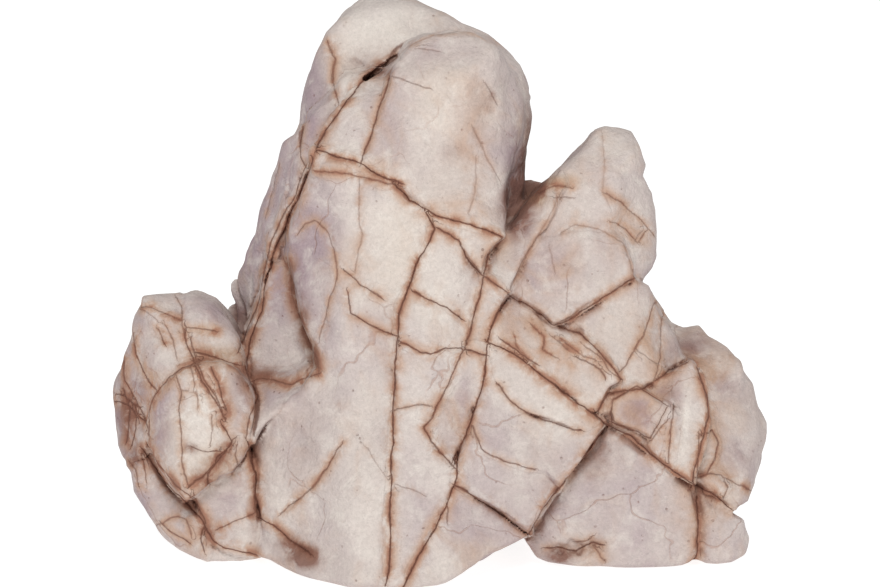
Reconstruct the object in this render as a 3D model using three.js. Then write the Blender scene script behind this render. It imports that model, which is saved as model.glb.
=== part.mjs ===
// Sandstone: one block of jointed rock, about a hand and a half wide, that rests on its flat foot.
// Lengths are in millimetres, +Z is up and the broad face of the stone looks towards -Y.
import * as THREE from "three";

// Driving dimensions of the whole stone
const JOINT_DIP = THREE.MathUtils.degToRad(12); // the joints run back into the stone and down at this slope
const ORIGIN_X = -0.5; // middle of the footprint box, measured in the frame of the outlines
const ORIGIN_Y = 103.5;
const FLOOR_CUT = 0; // height of the flat foot

// Driving dimensions of the joints and of the weathered surface
const BLOCK_GROWTH = 0.5; // how far each block is grown over its outline, which closes the joints inside
const CEMENT = 4.5; // reach of the cement that fills the bottom of a joint
const EDGE_WEAR = 1.2; // wear that rounds every edge of the front blocks a little more
const FACE_BLEND = 3; // how softly two flat faces of one block meet
const FLOOR_ROUND = 5; // rounding of the lower edges, where the stone meets the floor
const TAPER_START = 34; // the blocks keep their outline this far behind the face
const TAPER = 0.16; // and then narrow by this much for each millimetre further back

// Driving dimensions of the faceted solid
const CELL = 3.1; // spacing of the points at which the shape is sampled
const TRIANGLE_GOAL = 9300;
const MARGIN = 7; // empty space kept around the sampled shape
const LEAST_TURN = 0.1; // cosine of the most that a facet may turn when an edge is joined
const LEAST_FULLNESS = 0.012; // least area of a facet, as a share of its longest edge squared
const RETRY_AFTER = 4000; // refused edges are tried again after this many
const FLOOR_SNAP = 0.4; // points this close to the floor lie on it

// Front blocks. An outline is drawn on the face of the stone: x to the right, then h up the face.
// A face is a plane through x, h at depth t, falling back by so much for each millimetre of x and of h.
const FRONT_BLOCKS = [
  {
    name: "core", back: 165, round: 10,
    outline: [[-60, 206], [-82, 192], [-95, 162], [-104, 138], [-98, 110], [-93, 75], [-88, 24], [-70, 12],
      [-26, 4], [-7, 11], [25, 25], [44, 36], [60, 60], [92, 84], [104, 104], [92, 140], [60, 152],
      [34, 164], [28, 180], [27, 205], [22, 225], [0, 235], [-24, 230], [-42, 216]],
    faces: [[-20, 120, 40, 0, 0.1], [-85, 130, 72, -1, 0]],
  },
  {
    name: "core of the left lobe", back: 140, round: 9,
    outline: [[-150, 134], [-112, 130], [-92, 100], [-88, 24], [-112, 22], [-140, 44], [-152, 70],
      [-157, 100]],
    faces: [[-120, 80, 62, -0.1, 0]],
  },
  {
    name: "core of the right side", back: 150, round: 9,
    outline: [[60, 130], [92, 140], [118, 112], [150, 104], [154, 62], [146, 40], [140, 16], [90, 14],
      [60, 18], [46, 36]],
    faces: [[110, 70, 52, 0.15, 0]],
  },
  {
    name: "rear tower", back: 182, round: 6,
    outline: [[-70, 212], [-70.5, 232], [-68, 250], [-63.5, 268.5], [-58, 281], [-50, 288.5], [-39, 296],
      [-27, 298], [-14, 297], [0, 291.5], [9, 286], [22, 278.5], [30, 271], [40, 261], [45.5, 251],
      [45, 236], [41, 218], [35, 205], [27, 190], [24, 172], [18, 160], [-30, 160], [-60, 180]],
    faces: [[-20, 250, 52, 0.05, 0.3], [-56, 262, 54, -1.05, 0.1], [-40, 292, 68, 0, 1.5],
      [28, 266, 62, 0.9, 0.5]],
  },
  {
    name: "saddle", back: 150, round: 5,
    outline: [[30, 160], [30, 200], [44, 206], [57, 207.5], [70, 195], [80, 160]],
    faces: [[50, 190, 96, 0, 0.2]],
  },
  {
    name: "left cap", back: 90, round: 2.5,
    outline: [[-60, 219], [-57, 231], [-50, 241], [-41, 252], [-35.5, 255], [-26.5, 256.5], [-29, 245],
      [-31.5, 232], [-37, 212.5], [-47.5, 215]],
    faces: [[-45, 232, 26, -0.35, 0.15], [-40, 250, 32, -0.3, 1.2]],
  },
  {
    name: "ledge under the cap", back: 90, round: 2,
    outline: [[-62, 219], [-50, 216], [-38, 214], [-30, 209], [-22, 204], [-30, 202], [-45, 204],
      [-62, 207]],
    faces: [[-45, 210, 20, -0.25, 0.1]],
  },
  {
    name: "head", back: 115, round: 4,
    outline: [[-37, 212.5], [-31.5, 232], [-29, 245], [-26.5, 256.5], [-22.5, 265], [-14, 273], [-8, 276],
      [4, 277.5], [16, 276], [28.5, 270], [37.5, 259], [41, 245], [40.5, 230], [37, 220], [33.5, 206],
      [33.5, 190], [30, 176], [20, 179], [8, 182], [-2, 186], [-8, 192], [-17.5, 200], [-25, 207.5]],
    faces: [[-2, 225, 13, 0.06, 0.04], [22, 225, 18, 0.7, 0.06], [33, 225, 30, 2, 0.1],
      [0, 262, 20, 0, 0.8], [-27, 235, 17, -0.4, 0.05]],
  },
  {
    name: "broad body", back: 105, round: 3.5,
    outline: [[-61, 215], [-50, 212], [-38, 209], [-30, 206.5], [-24, 203.5], [-15, 196], [-7, 191.5],
      [-1.5, 184.5], [-7, 174], [-10, 164], [-18, 145], [-21.5, 127], [-23.5, 112], [-23, 85], [-23.5, 60],
      [-25.5, 35], [-25, 12], [-26, -4], [-45, -4], [-56, 1], [-70, 6.5], [-78, 11], [-85, 15], [-92, 17],
      [-89, 24], [-90.5, 38], [-92, 57], [-95.5, 74], [-89, 83], [-80, 92], [-68.5, 101], [-61.5, 111],
      [-62, 122], [-67, 136], [-72, 152], [-77.5, 166], [-76, 176], [-70, 192], [-64, 205]],
    faces: [[-35, 100, 13, -0.03, 0.04], [-60, 60, 22, -0.75, 0.02], [-66, 170, 27, -0.75, 0.02],
      [-40, 206, 16, -0.1, 0.6]],
  },
  {
    name: "left flank", back: 130, round: 4,
    outline: [[-70.5, 233.5], [-81, 224], [-87, 210.5], [-90.5, 195.5], [-92, 182.5], [-94.5, 170],
      [-100, 160], [-109.5, 147.5], [-116.5, 139], [-113.5, 131], [-99.5, 122.5], [-96.5, 132.5],
      [-90.5, 152.5], [-87, 167.5], [-79.5, 184], [-72.5, 195], [-66.5, 211], [-69, 224]],
    faces: [[-80, 165, 60, -1.5, 0.1]],
  },
  {
    name: "sliver between the twin cracks", back: 120, round: 1.6,
    outline: [[-66.5, 211], [-61, 219], [-65, 207.5], [-70.5, 195], [-77.5, 180], [-84.5, 166],
      [-89, 152.5], [-91, 137.5], [-95, 125], [-97, 111], [-99.5, 120], [-96.5, 132.5], [-90.5, 152.5],
      [-87, 167.5], [-79.5, 184], [-72.5, 195]],
    faces: [[-80, 170, 55, -0.9, 0]],
  },
  {
    name: "hollow of the left side", back: 120, round: 2,
    outline: [[-70.5, 195], [-77.5, 180], [-84.5, 166], [-89, 152.5], [-91, 137.5], [-95, 125], [-97, 111],
      [-88, 106], [-67, 108], [-60, 112], [-62, 122], [-67, 136], [-72, 152], [-77, 166], [-75, 176],
      [-69, 192]],
    faces: [[-78, 140, 58, -0.3, 0.1]],
  },
  {
    name: "slope under the hollow", back: 120, round: 2,
    outline: [[-97, 112], [-88, 108], [-76, 107], [-61, 112], [-68.5, 101], [-80, 92], [-89, 83], [-96, 74],
      [-99, 92]],
    faces: [[-82, 98, 44, -0.55, 0.75]],
  },
  {
    name: "long slab", back: 90, round: 2.5,
    outline: [[-3, 183], [5, 177.5], [11, 171.5], [15, 164], [20, 157.5], [20.5, 145], [17, 134], [14, 124],
      [11, 118], [5, 107], [-1, 95], [-4, 87.5], [-8, 83], [-3, 74], [7, 63], [9, 60], [6, 53], [0, 42],
      [-6, 27.5], [-14, 11], [-19, -4], [-26, -4], [-25, 12], [-25.5, 35], [-23.5, 60], [-23, 85],
      [-23.5, 112], [-21.5, 127], [-18, 145], [-10, 164], [-7, 174]],
    faces: [[-12, 120, 10, 0.08, 0.03], [8, 130, 14, 0.5, 0.05]],
  },
  {
    name: "pink wedge of the slab", back: 90, round: 2,
    outline: [[-1, 94], [11.5, 120], [17, 124.5], [25, 121], [25, 113], [19, 98], [11.5, 74], [7, 63],
      [-7, 83]],
    faces: [[8, 92, 13, 0.15, -0.05]],
  },
  {
    name: "hooked wedge", back: 90, round: 2,
    outline: [[-1.5, 185.5], [7.5, 182], [20, 179], [30, 176], [25, 170], [22, 164], [20.5, 157], [15, 164],
      [11, 171.5], [5, 177.5], [-2, 182]],
    faces: [[15, 172, 16, 0.1, 0.1]],
  },
  {
    name: "middle strip", back: 90, round: 2,
    outline: [[20.5, 157], [23.5, 156.5], [34.5, 148.5], [30, 140], [27, 130], [24, 122], [20, 122.5],
      [15, 125], [17, 134], [20.5, 145]],
    faces: [[24, 138, 16, 0.15, 0.05]],
  },
  {
    name: "upper plate", back: 90, round: 2,
    outline: [[25, 120], [31.5, 122], [40, 117], [52.5, 108], [62.5, 99], [72.5, 91], [80.5, 84], [69, 81],
      [55, 86.5], [40, 90], [29.5, 98.5], [25.5, 107.5]],
    faces: [[45, 100, 14, 0.12, 0.1]],
  },
  {
    name: "middle plate", back: 90, round: 2.2,
    outline: [[24, 115], [25.5, 107.5], [29.5, 98.5], [40, 90], [55, 86.5], [69, 81], [81, 83], [75, 71.5],
      [69, 64], [60, 53], [52.5, 61], [40, 62.5], [30, 66.5], [20.5, 70.5], [17, 75], [15, 82.5], [19, 95],
      [21, 105]],
    faces: [[45, 75, 13, 0.15, 0.08]],
  },
  {
    name: "lower plate", back: 90, round: 2.2,
    outline: [[15, 81], [20.5, 70.5], [30, 66.5], [40, 62.5], [52.5, 61], [61, 54], [52.5, 42.5], [44, 30],
      [32.5, 37.5], [20, 46.5], [7, 54], [10, 62], [12.5, 72]],
    faces: [[35, 52, 13, 0.25, 0.05]],
  },
  {
    name: "toe", back: 90, round: 2.5,
    outline: [[7, 54], [20, 46.5], [32.5, 37.5], [44, 29.5], [37.5, 26], [25, 20], [12.5, 12.5], [2.5, 7],
      [-7.5, 5], [-14, 1], [-19, -4], [-14, 11], [-6, 27.5], [0, 42]],
    faces: [[5, 25, 9, 0.24, 0.05]],
  },
  {
    name: "right tower", back: 130, round: 4.5,
    outline: [[30, 175], [23.5, 166], [21, 157], [24, 156], [35, 149], [50, 138], [56.5, 132.5],
      [72.5, 140], [90, 151], [96, 155], [100.5, 157], [106, 162], [109.5, 168], [110, 180], [109.5, 192],
      [107.5, 200], [100.5, 207.5], [102, 213.5], [99, 219], [95.5, 225.5], [93.5, 229], [88, 231],
      [82, 232], [77, 229], [71.5, 221.5], [62.5, 212], [56, 205], [45, 195], [37.5, 184]],
    faces: [[75, 185, 34, 0.06, 0.12], [45, 180, 31, -0.45, 0.3], [98, 190, 46, 0.9, 0.1],
      [86, 222, 48, 0.1, 0.9]],
  },
  {
    name: "left bevel of the right tower", back: 100, round: 2.5,
    outline: [[22.5, 164], [30, 175], [45, 192.5], [54, 202.5], [61.5, 209], [64, 203], [60, 197.5],
      [50, 181], [40, 165], [34, 150], [24, 157]],
    faces: [[40, 175, 26, -0.2, 0.32]],
  },
  {
    name: "face of the right tower", back: 100, round: 3.5,
    outline: [[35, 148], [50, 138], [56.5, 132.5], [66, 136], [80, 145], [96, 155], [93, 166], [90, 174],
      [82, 179], [66, 182], [55, 184], [47, 174], [40.5, 163]],
    faces: [[65, 160, 25, 0.06, 0.22], [48, 160, 26, -0.15, 0.15], [70, 178, 33, 0, 1]],
  },
  {
    name: "shoulder", back: 120, round: 3,
    outline: [[66, 135], [72.5, 139], [90, 150.5], [97, 154.5], [103, 152], [108, 145], [112.5, 136],
      [118, 127.5], [123.5, 116], [115, 110], [107.5, 104], [100, 102], [92.5, 105], [86, 111], [80, 119],
      [74, 127.5]],
    faces: [[90, 130, 29, 0.15, 0.12], [108, 135, 38, 1, 0.3]],
  },
  {
    name: "white band", back: 90, round: 2.2,
    outline: [[34.5, 148], [42.5, 143.5], [50, 137.5], [56.5, 132], [66, 134], [74, 126.5], [80, 118.5],
      [86, 110], [89, 105], [82.5, 102], [80, 95], [78, 88], [72.5, 91], [62.5, 99], [52.5, 108], [40, 117],
      [31.5, 122], [25, 122.5], [27, 130], [30, 140]],
    faces: [[55, 115, 17, 0.15, 0.05], [66, 130, 23, 0.2, 0.5]],
  },
  {
    name: "bed of the small blocks", back: 110, round: 2.5,
    outline: [[78, 88], [89, 106], [104, 102], [125, 114], [130, 105], [133, 85], [129, 67.5], [127, 55],
      [112.5, 63.5], [100, 72], [90, 78.5], [81.5, 84]],
    faces: [[105, 85, 30, 0.15, 0.1]],
  },
  {
    name: "knob beside the square block", back: 90, round: 2,
    outline: [[79, 89], [83, 98], [91, 102.5], [99, 102], [92, 95], [84, 88]],
    faces: [[88, 96, 25, 0.1, 0.15]],
  },
  {
    name: "square block", back: 90, round: 2,
    outline: [[85, 94], [97, 101], [111.5, 93], [105, 76], [85, 84]],
    faces: [[98, 88, 23.5, 0.12, 0.1]],
  },
  {
    name: "chip", back: 90, round: 1.8,
    outline: [[111, 93], [118, 87], [116, 63], [104, 73]],
    faces: [[111, 80, 26.5, 0.12, 0]],
  },
  {
    name: "blade", back: 90, round: 2.2,
    outline: [[125, 114], [130, 105], [133, 85], [129, 67.5], [126, 56], [119, 61], [119, 75], [121, 90],
      [116, 97.5], [117.5, 107.5]],
    faces: [[124, 85, 31, 0.15, 0.1]],
  },
  {
    name: "far right block", back: 125, round: 5,
    outline: [[117.5, 128.5], [129, 128.5], [134.5, 123], [145, 119], [152, 113.5], [159, 103], [160.5, 95],
      [163.5, 84], [162.5, 77], [161, 66], [157.5, 53], [154, 45], [146, 40], [137.5, 46], [130, 51],
      [127, 55], [125, 75], [128, 87.5], [126, 102.5], [122, 114], [118, 117]],
    faces: [[140, 85, 50, 0.3, 0.1], [154, 80, 57, 1.2, 0.1], [135, 118, 60, 0.2, 1]],
  },
  {
    name: "oval pebble", back: 90, round: 3,
    outline: [[130, 77.5], [136, 80], [139, 72.5], [138, 65], [134, 58], [128.5, 59]],
    faces: [[134, 68, 44, 0.1, 0]],
  },
  {
    name: "small nodule", back: 90, round: 3,
    outline: [[128.5, 55], [135, 58], [141, 57], [144.5, 52], [141, 46], [134, 49]],
    faces: [[136, 52, 42, 0.1, 0]],
  },
  {
    name: "smooth foot block", back: 120, round: 5,
    outline: [[82, 83], [100, 71.5], [112.5, 63], [126, 54.5], [128, 45], [129, 30], [128.5, 16], [120, 12],
      [105, 10], [87.5, 9], [67.5, 10.5], [53, 13], [48, 16.5], [45, 23.5], [44.5, 29.5], [52.5, 42],
      [61, 53.5], [75, 71]],
    faces: [[88, 40, 38, 0.04, -0.2], [55, 30, 42, -0.5, -0.2]],
  },
  {
    name: "nub", back: 110, round: 10,
    outline: [[130, 48.5], [137.5, 44.5], [145, 39], [151, 31.5], [153, 25], [151, 16.5], [146, 11],
      [138, 9.5], [131, 11], [128, 19], [129, 35]],
    faces: [[140, 28, 46, 0.1, -0.1]],
  },
  {
    name: "top of the lobe", back: 120, round: 4.5,
    outline: [[-150, 146], [-145, 148], [-134, 147.5], [-125, 147.5], [-116, 143], [-109, 134], [-101, 124],
      [-97, 113], [-98, 104], [-120, 95], [-140, 85], [-150, 66], [-157.5, 62], [-160, 65.5], [-163, 72],
      [-163.5, 88], [-162, 102.5], [-159, 115], [-154.5, 126], [-153.5, 137]],
    faces: [[-128, 120, 46, 0, 0.15], [-150, 100, 56, -1.2, 0.05], [-130, 140, 52, 0, 0.9]],
  },
  {
    name: "oval of the lobe", back: 100, round: 7,
    outline: [[-145, 92], [-141, 99], [-135, 106], [-127.5, 112], [-118, 115], [-108, 114.5], [-101, 111],
      [-96.5, 104], [-94.5, 95], [-94.5, 82.5], [-96, 72], [-103, 60], [-115, 54], [-121.5, 48], [-127, 45],
      [-134, 52], [-141, 61.5], [-145.5, 72.5], [-147, 82.5]],
    faces: [[-115, 88, 29, -0.05, 0.12], [-137, 80, 35, -0.7, 0]],
  },
  {
    name: "shin of the lobe", back: 100, round: 4,
    outline: [[-121.5, 48], [-115, 53.5], [-102.5, 60], [-95.5, 68], [-92, 60], [-91, 40], [-90, 27.5],
      [-92, 16.5], [-98, 16], [-104, 17.5], [-110, 20.5], [-116, 26], [-119.5, 36]],
    faces: [[-105, 42, 45, -0.1, -0.2]],
  },
  {
    name: "heel of the lobe", back: 110, round: 4,
    outline: [[-157, 61], [-150, 67], [-146, 71.5], [-141, 61], [-134, 51.5], [-126.5, 44], [-119, 35],
      [-116, 26], [-117.5, 13.5], [-122.5, 15], [-131, 20.5], [-140, 31.5], [-147.5, 43], [-153, 50]],
    faces: [[-133, 42, 58, -0.35, -0.1]],
  },
  {
    name: "sole of the lobe", back: 100, round: 3,
    outline: [[-119, 27], [-112.5, 22.5], [-105, 18], [-95, 17], [-90, 17], [-95, 13], [-101, 11],
      [-110, 12], [-118, 13.5]],
    faces: [[-105, 17, 58, 0, 0]],
  },
];

// Back blocks. Their outlines are seen from straight ahead: x, then the height z.
// A face is a plane through x, z at the distance y behind the toe, with its slopes in x and z.
const BACK_BLOCKS = [
  {
    name: "left root", front: 100, round: 8,
    outline: [[-128, -10], [-134, 16], [-146, 36], [-150, 70], [-140, 94], [-118, 103], [-98, 98],
      [-86, 60], [-83, -10]],
    faces: [[-115, 45, 152, 0.15, -0.15], [-140, 45, 142, 0.9, -0.1]],
  },
  {
    name: "left buttress", front: 105, round: 8,
    outline: [[-86, -10], [-90, 50], [-78, 78], [-45, 84], [-22, 70], [-18, 30], [-26, -10]],
    faces: [[-55, 40, 182, 0.1, -0.12], [-78, 40, 176, 0.8, -0.1]],
  },
  {
    name: "middle buttress", front: 110, round: 9,
    outline: [[-28, -10], [-20, 35], [-24, 70], [0, 92], [34, 84], [48, 55], [44, 20], [50, -10]],
    faces: [[8, 40, 196, -0.04, -0.08], [38, 60, 188, -0.8, -0.2]],
  },
  {
    name: "right buttress", front: 110, round: 8,
    outline: [[48, -10], [42, 24], [48, 60], [66, 80], [96, 74], [108, 48], [103, -10]],
    faces: [[78, 35, 178, -0.1, -0.15]],
  },
  {
    name: "right root", front: 100, round: 8,
    outline: [[100, -10], [106, 48], [98, 74], [114, 86], [136, 80], [151, 64], [152, 38], [148, 12],
      [142, -10]],
    faces: [[122, 45, 152, -0.25, -0.2], [142, 45, 142, -0.9, -0.1]],
  },
  {
    name: "left cheek", front: 100, round: 8,
    outline: [[-100, 70], [-101, 94], [-92, 116], [-80, 146], [-62, 160], [-46, 148], [-40, 100], [-50, 80],
      [-78, 76]],
    faces: [[-70, 115, 170, 0.25, -0.1], [-92, 115, 158, 0.9, -0.1]],
  },
  {
    name: "back plate", front: 105, round: 9,
    outline: [[-44, 80], [-38, 112], [-46, 150], [-20, 176], [10, 168], [26, 142], [38, 112], [36, 86],
      [0, 94]],
    faces: [[-4, 120, 186, -0.05, -0.12]],
  },
  {
    name: "right cheek", front: 100, round: 8,
    outline: [[38, 84], [40, 112], [28, 142], [52, 152], [78, 150], [92, 132], [100, 110], [112, 88],
      [96, 76], [66, 82]],
    faces: [[66, 115, 168, -0.2, -0.15]],
  },
  {
    name: "back of the rear tower", front: 90, round: 9,
    outline: [[-76, 150], [-74, 190], [-66, 222], [-46, 243], [-15, 249], [14, 241], [33, 224], [41, 190],
      [42, 150], [10, 160], [-20, 168], [-50, 146]],
    faces: [[-15, 200, 160, -0.1, -0.3], [-60, 200, 150, 0.8, -0.2], [25, 200, 150, -0.7, -0.2]],
  },
  {
    name: "back of the right tower", front: 85, round: 7,
    outline: [[36, 135], [41, 168], [54, 174], [68, 188], [84, 198], [97, 184], [98, 152], [92, 132]],
    faces: [[68, 160, 138, -0.15, -0.2]],
  },
];

// Weathered grooves that circle the sides and the back: their place in depth or in height, and the slopes
const DEPTH_JOINTS = [{ at: 84, lean: 0.12 }, { at: 118, lean: -0.08 }, { at: 150, lean: 0.1 }];
const LEVEL_JOINTS = [{ at: 62, lean: 0.1 }, { at: 128, lean: -0.12 }, { at: 196, lean: 0.08 }];
const JOINT_DEPTH = 2.6;
const JOINT_WIDTH = 3.2;
const JOINTS_START = 62; // the front of the stone, up to this depth, has none of them
const LEVELS_START = 112;
const JOINTS_FADE = 20;

// Flat chips all over the skin: the spacing of their creases, and how high they stand
const CHIPS = [{ size: 29, height: 2.4 }, { size: 13, height: 1.2 }];
const FLOOR_FADE = 8; // the relief dies out this close to the floor, which keeps the foot flat
const SEAM_DEPTH = [2, 6]; // the relief dies out between two blocks this far behind their face
const SEAM_REACH = [2, 6]; // and where the two are this nearly as close as each other
const FACE_END = [98, 118]; // the dents of the face die out at this depth

// Dents of the face: their middle, half width and half height on the face, and their depth
const DENTS = [
  { name: "pit of the foot block", x: 68, h: 21, width: 15, height: 5, depth: 4 },
  { name: "deep end of that pit", x: 60, h: 19, width: 6, height: 3.5, depth: 1.5 },
  { name: "trough of the foot block", x: 78, h: 52, width: 9, height: 30, depth: 1.8 },
  { name: "hollow of the left foot", x: -70, h: 21, width: 7, height: 4, depth: 1.8 },
  { name: "notch of the lobe", x: -122.5, h: 72, width: 3.2, height: 2.8, depth: 1.4 },
  { name: "notch of the lobe's edge", x: -157, h: 69, width: 3.5, height: 5, depth: 2 },
  { name: "rough zone of the lobe", x: -108, h: 64, width: 9, height: 12, depth: 2 },
  { name: "scoop of the head", x: 20, h: 240, width: 8, height: 24, depth: 1.4 },
  { name: "scoop of the right tower", x: 62, h: 168, width: 10, height: 10, depth: 1.8 },
  { name: "scoop of the body", x: -70, h: 70, width: 12, height: 14, depth: 1.6 },
  { name: "scoop of the slab", x: -12, h: 150, width: 6, height: 16, depth: 1 },
  { name: "scoop of the rear tower", x: -42, h: 262, width: 9, height: 11, depth: 1.8 },
  { name: "scoop of the far right block", x: 143, h: 92, width: 9, height: 14, depth: 1.6 },
  { name: "scoop of the lobe's top", x: -138, h: 128, width: 8, height: 9, depth: 1.6 },
  { name: "groove of the lobe's top", x: -130.5, h: 142, width: 3, height: 12, depth: 2 },
];

// Open gaps between blocks: half their width, the depth t at which they close, and their line on the face
const GAPS = [
  { name: "behind the cap", width: 0.7, depth: 42, line: [[-64, 221], [-60, 231], [-53, 243]] },
  { name: "behind the head", width: 1.8, depth: 58, line: [[-36.5, 256], [-29, 260.5]] },
  { name: "behind the head, narrow end", width: 1, depth: 58, line: [[-30, 260], [-21, 266.5]] },
];
const GAP_SLOPE = 0.35; // how fast a gap closes towards that depth
const GAP_REACH = 14; // a gap is measured only this close to its line

const FAR_AWAY = 1000;
const COS_DIP = Math.cos(JOINT_DIP);
const SIN_DIP = Math.sin(JOINT_DIP);

function smoothStep(from, to, value) {
  const share = THREE.MathUtils.clamp((value - from) / (to - from), 0, 1);
  return share * share * (3 - 2 * share);
}

// Larger of two distances, blended over a short stretch
function softMax(a, b, blend) {
  const overlap = Math.max(blend - Math.abs(a - b), 0);
  return Math.max(a, b) + (overlap * overlap) / (4 * blend);
}

// Smaller of two distances, with the joint between two neighbours cemented over a short stretch
function cemented(a, b) {
  const overlap = Math.max(CEMENT - Math.abs(a - b), 0);
  return Math.min(a, b) - (overlap * overlap) / (4 * CEMENT);
}

// Square of the distance to the straight stretch between two points
function stretchDistanceSquared([ax, ah], [bx, bh], x, h) {
  const along = THREE.MathUtils.clamp(
    ((x - ax) * (bx - ax) + (h - ah) * (bh - ah)) / ((bx - ax) ** 2 + (bh - ah) ** 2), 0, 1);
  return (x - ax - (bx - ax) * along) ** 2 + (h - ah - (bh - ah) * along) ** 2;
}

// Distance to an open line through the points
function lineDistance(points, x, h) {
  let nearest = Infinity;
  for (let i = 1; i < points.length; i += 1) {
    nearest = Math.min(nearest, stretchDistanceSquared(points[i - 1], points[i], x, h));
  }
  return Math.sqrt(nearest);
}

// Distance to a closed outline, negative inside
function outlineDistance(outline, x, h) {
  let nearest = Infinity;
  let inside = false;
  for (let i = 0, j = outline.length - 1; i < outline.length; j = i, i += 1) {
    const [ax, ah] = outline[j];
    const [bx, bh] = outline[i];
    nearest = Math.min(nearest, stretchDistanceSquared(outline[j], outline[i], x, h));
    if ((ah > h) !== (bh > h) && x < ((bx - ax) * (h - ah)) / (bh - ah) + ax) {
      inside = !inside;
    }
  }
  return (inside ? -1 : 1) * Math.sqrt(nearest);
}

// Distance in front of a set of sloping faces, each a plane over the outline's own two coordinates
function facesDistance(faces, x, h, depth, sign) {
  let distance = -Infinity;
  for (const [atX, atH, atDepth, slopeX, slopeH] of faces) {
    const plane = atDepth + slopeX * (x - atX) + slopeH * (h - atH);
    const gap = (sign * (plane - depth)) / Math.hypot(1, slopeX, slopeH);
    distance = distance === -Infinity ? gap : softMax(distance, gap, FACE_BLEND);
  }
  return distance;
}

// Inside of several walls at once, with every edge between them rounded
function roundedMeet(walls, round) {
  let squares = 0;
  let largest = -Infinity;
  for (const wall of walls) {
    const reach = Math.max(wall + round, 0);
    squares += reach * reach;
    largest = Math.max(largest, wall);
  }
  return Math.sqrt(squares) - round + Math.min(largest + round, 0);
}

function boxOf(outline) {
  const across = outline.map((point) => point[0]);
  const up = outline.map((point) => point[1]);
  return {
    left: Math.min(...across),
    right: Math.max(...across),
    low: Math.min(...up),
    high: Math.max(...up),
  };
}

// Shortest distance that a point could have to an outline's box, which lets far blocks be skipped
function boxDistance(box, x, h) {
  return Math.max(box.left - x, x - box.right, box.low - h, h - box.high);
}

for (const block of [...FRONT_BLOCKS, ...BACK_BLOCKS]) {
  block.box = boxOf(block.outline);
}
for (const gap of GAPS) {
  gap.box = boxOf(gap.line);
}

// Slow swell of the rock, which bends the outlines and faces a little, more so away from the front
function swell(x, h, t) {
  const slow = 0.8 + 1.8 * smoothStep(45, 110, t);
  return {
    x: slow * Math.sin(0.085 * h + 0.05 * t + 1.3) + 0.3 * Math.sin(0.27 * h - 0.19 * t + 4.1),
    h: slow * Math.sin(0.08 * x + 0.06 * t + 2.2) + 0.3 * Math.sin(0.25 * x + 0.18 * t + 0.7),
    t: slow * Math.sin(0.06 * x + 0.075 * h + 0.5) + 0.5 * Math.sin(0.17 * x - 0.14 * h + 2.9)
      + 0.25 * Math.sin(0.31 * x + 0.27 * h + 1.1),
  };
}

// Depth of a groove at a distance from its middle
function grooveShape(off) {
  return JOINT_DEPTH * Math.exp(-((off / JOINT_WIDTH) ** 2));
}

function grooveDepth(x, y, z, t) {
  const bend = 5 * Math.sin(0.045 * x + 0.03 * z) + 3 * Math.sin(0.08 * z + 0.06 * x + 2);
  let depth = 0;
  for (const { at, lean } of DEPTH_JOINTS) {
    const off = t - at - lean * z - bend;
    depth += grooveShape(off) * smoothStep(0, JOINTS_FADE, t - JOINTS_START);
  }
  for (const { at, lean } of LEVEL_JOINTS) {
    const off = z - at - lean * x - bend;
    depth += grooveShape(off) * smoothStep(0, JOINTS_FADE, y - LEVELS_START);
  }
  return depth;
}

// Fixed scattered value from -1 to 1 at each corner of a lattice
function cornerValue(i, j, k, seed) {
  const mixed = Math.sin(12.9898 * i + 78.233 * j + 37.719 * k + 5.37 * seed) * 43758.5453;
  return 2 * (mixed - Math.floor(mixed)) - 1;
}

// Relief from -1 to 1 made of flat facets that meet in creases: the lattice is read one
// tetrahedron at a time, from its largest share to its smallest
function chipRelief(x, y, z, size, seed) {
  const place = [x + 0.35 * y, y - 0.3 * z + 0.2 * x, z + 0.25 * x - 0.15 * y].map((value) => value / size);
  const corner = place.map(Math.floor);
  const share = place.map((value, axis) => value - corner[axis]);
  const order = [0, 1, 2].sort((a, b) => share[b] - share[a]);
  let total = cornerValue(...corner, seed) * (1 - share[order[0]]);
  order.forEach((axis, step) => {
    corner[axis] += 1;
    const rest = step < 2 ? share[order[step + 1]] : 0;
    total += cornerValue(...corner, seed) * (share[axis] - rest);
  });
  return total;
}

// How deep the dents of the face are at each place
function dentDepth(bentX, bentH) {
  const ragged = Math.sin(0.62 * bentX + 0.85 * bentH) + 0.6 * Math.sin(1.3 * bentX - 0.7 * bentH);
  let total = 0;
  for (const { x, h, width, height, depth } of DENTS) {
    const off = ((bentX + ragged - x) / width) ** 2 + ((bentH + ragged - h) / height) ** 2;
    total += depth * Math.max(0, 1 - off) ** 1.5;
  }
  return total;
}

// The distance once the open gaps between blocks are cut out
function withGaps(distance, bentX, bentH, bentT) {
  let cut = distance;
  for (const { width, depth, line, box } of GAPS) {
    if (boxDistance(box, bentX, bentH) < GAP_REACH) {
      const gap = lineDistance(line, bentX, bentH) - Math.min(width, GAP_SLOPE * (depth - bentT));
      cut = Math.max(cut, -gap);
    }
  }
  return cut;
}

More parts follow.
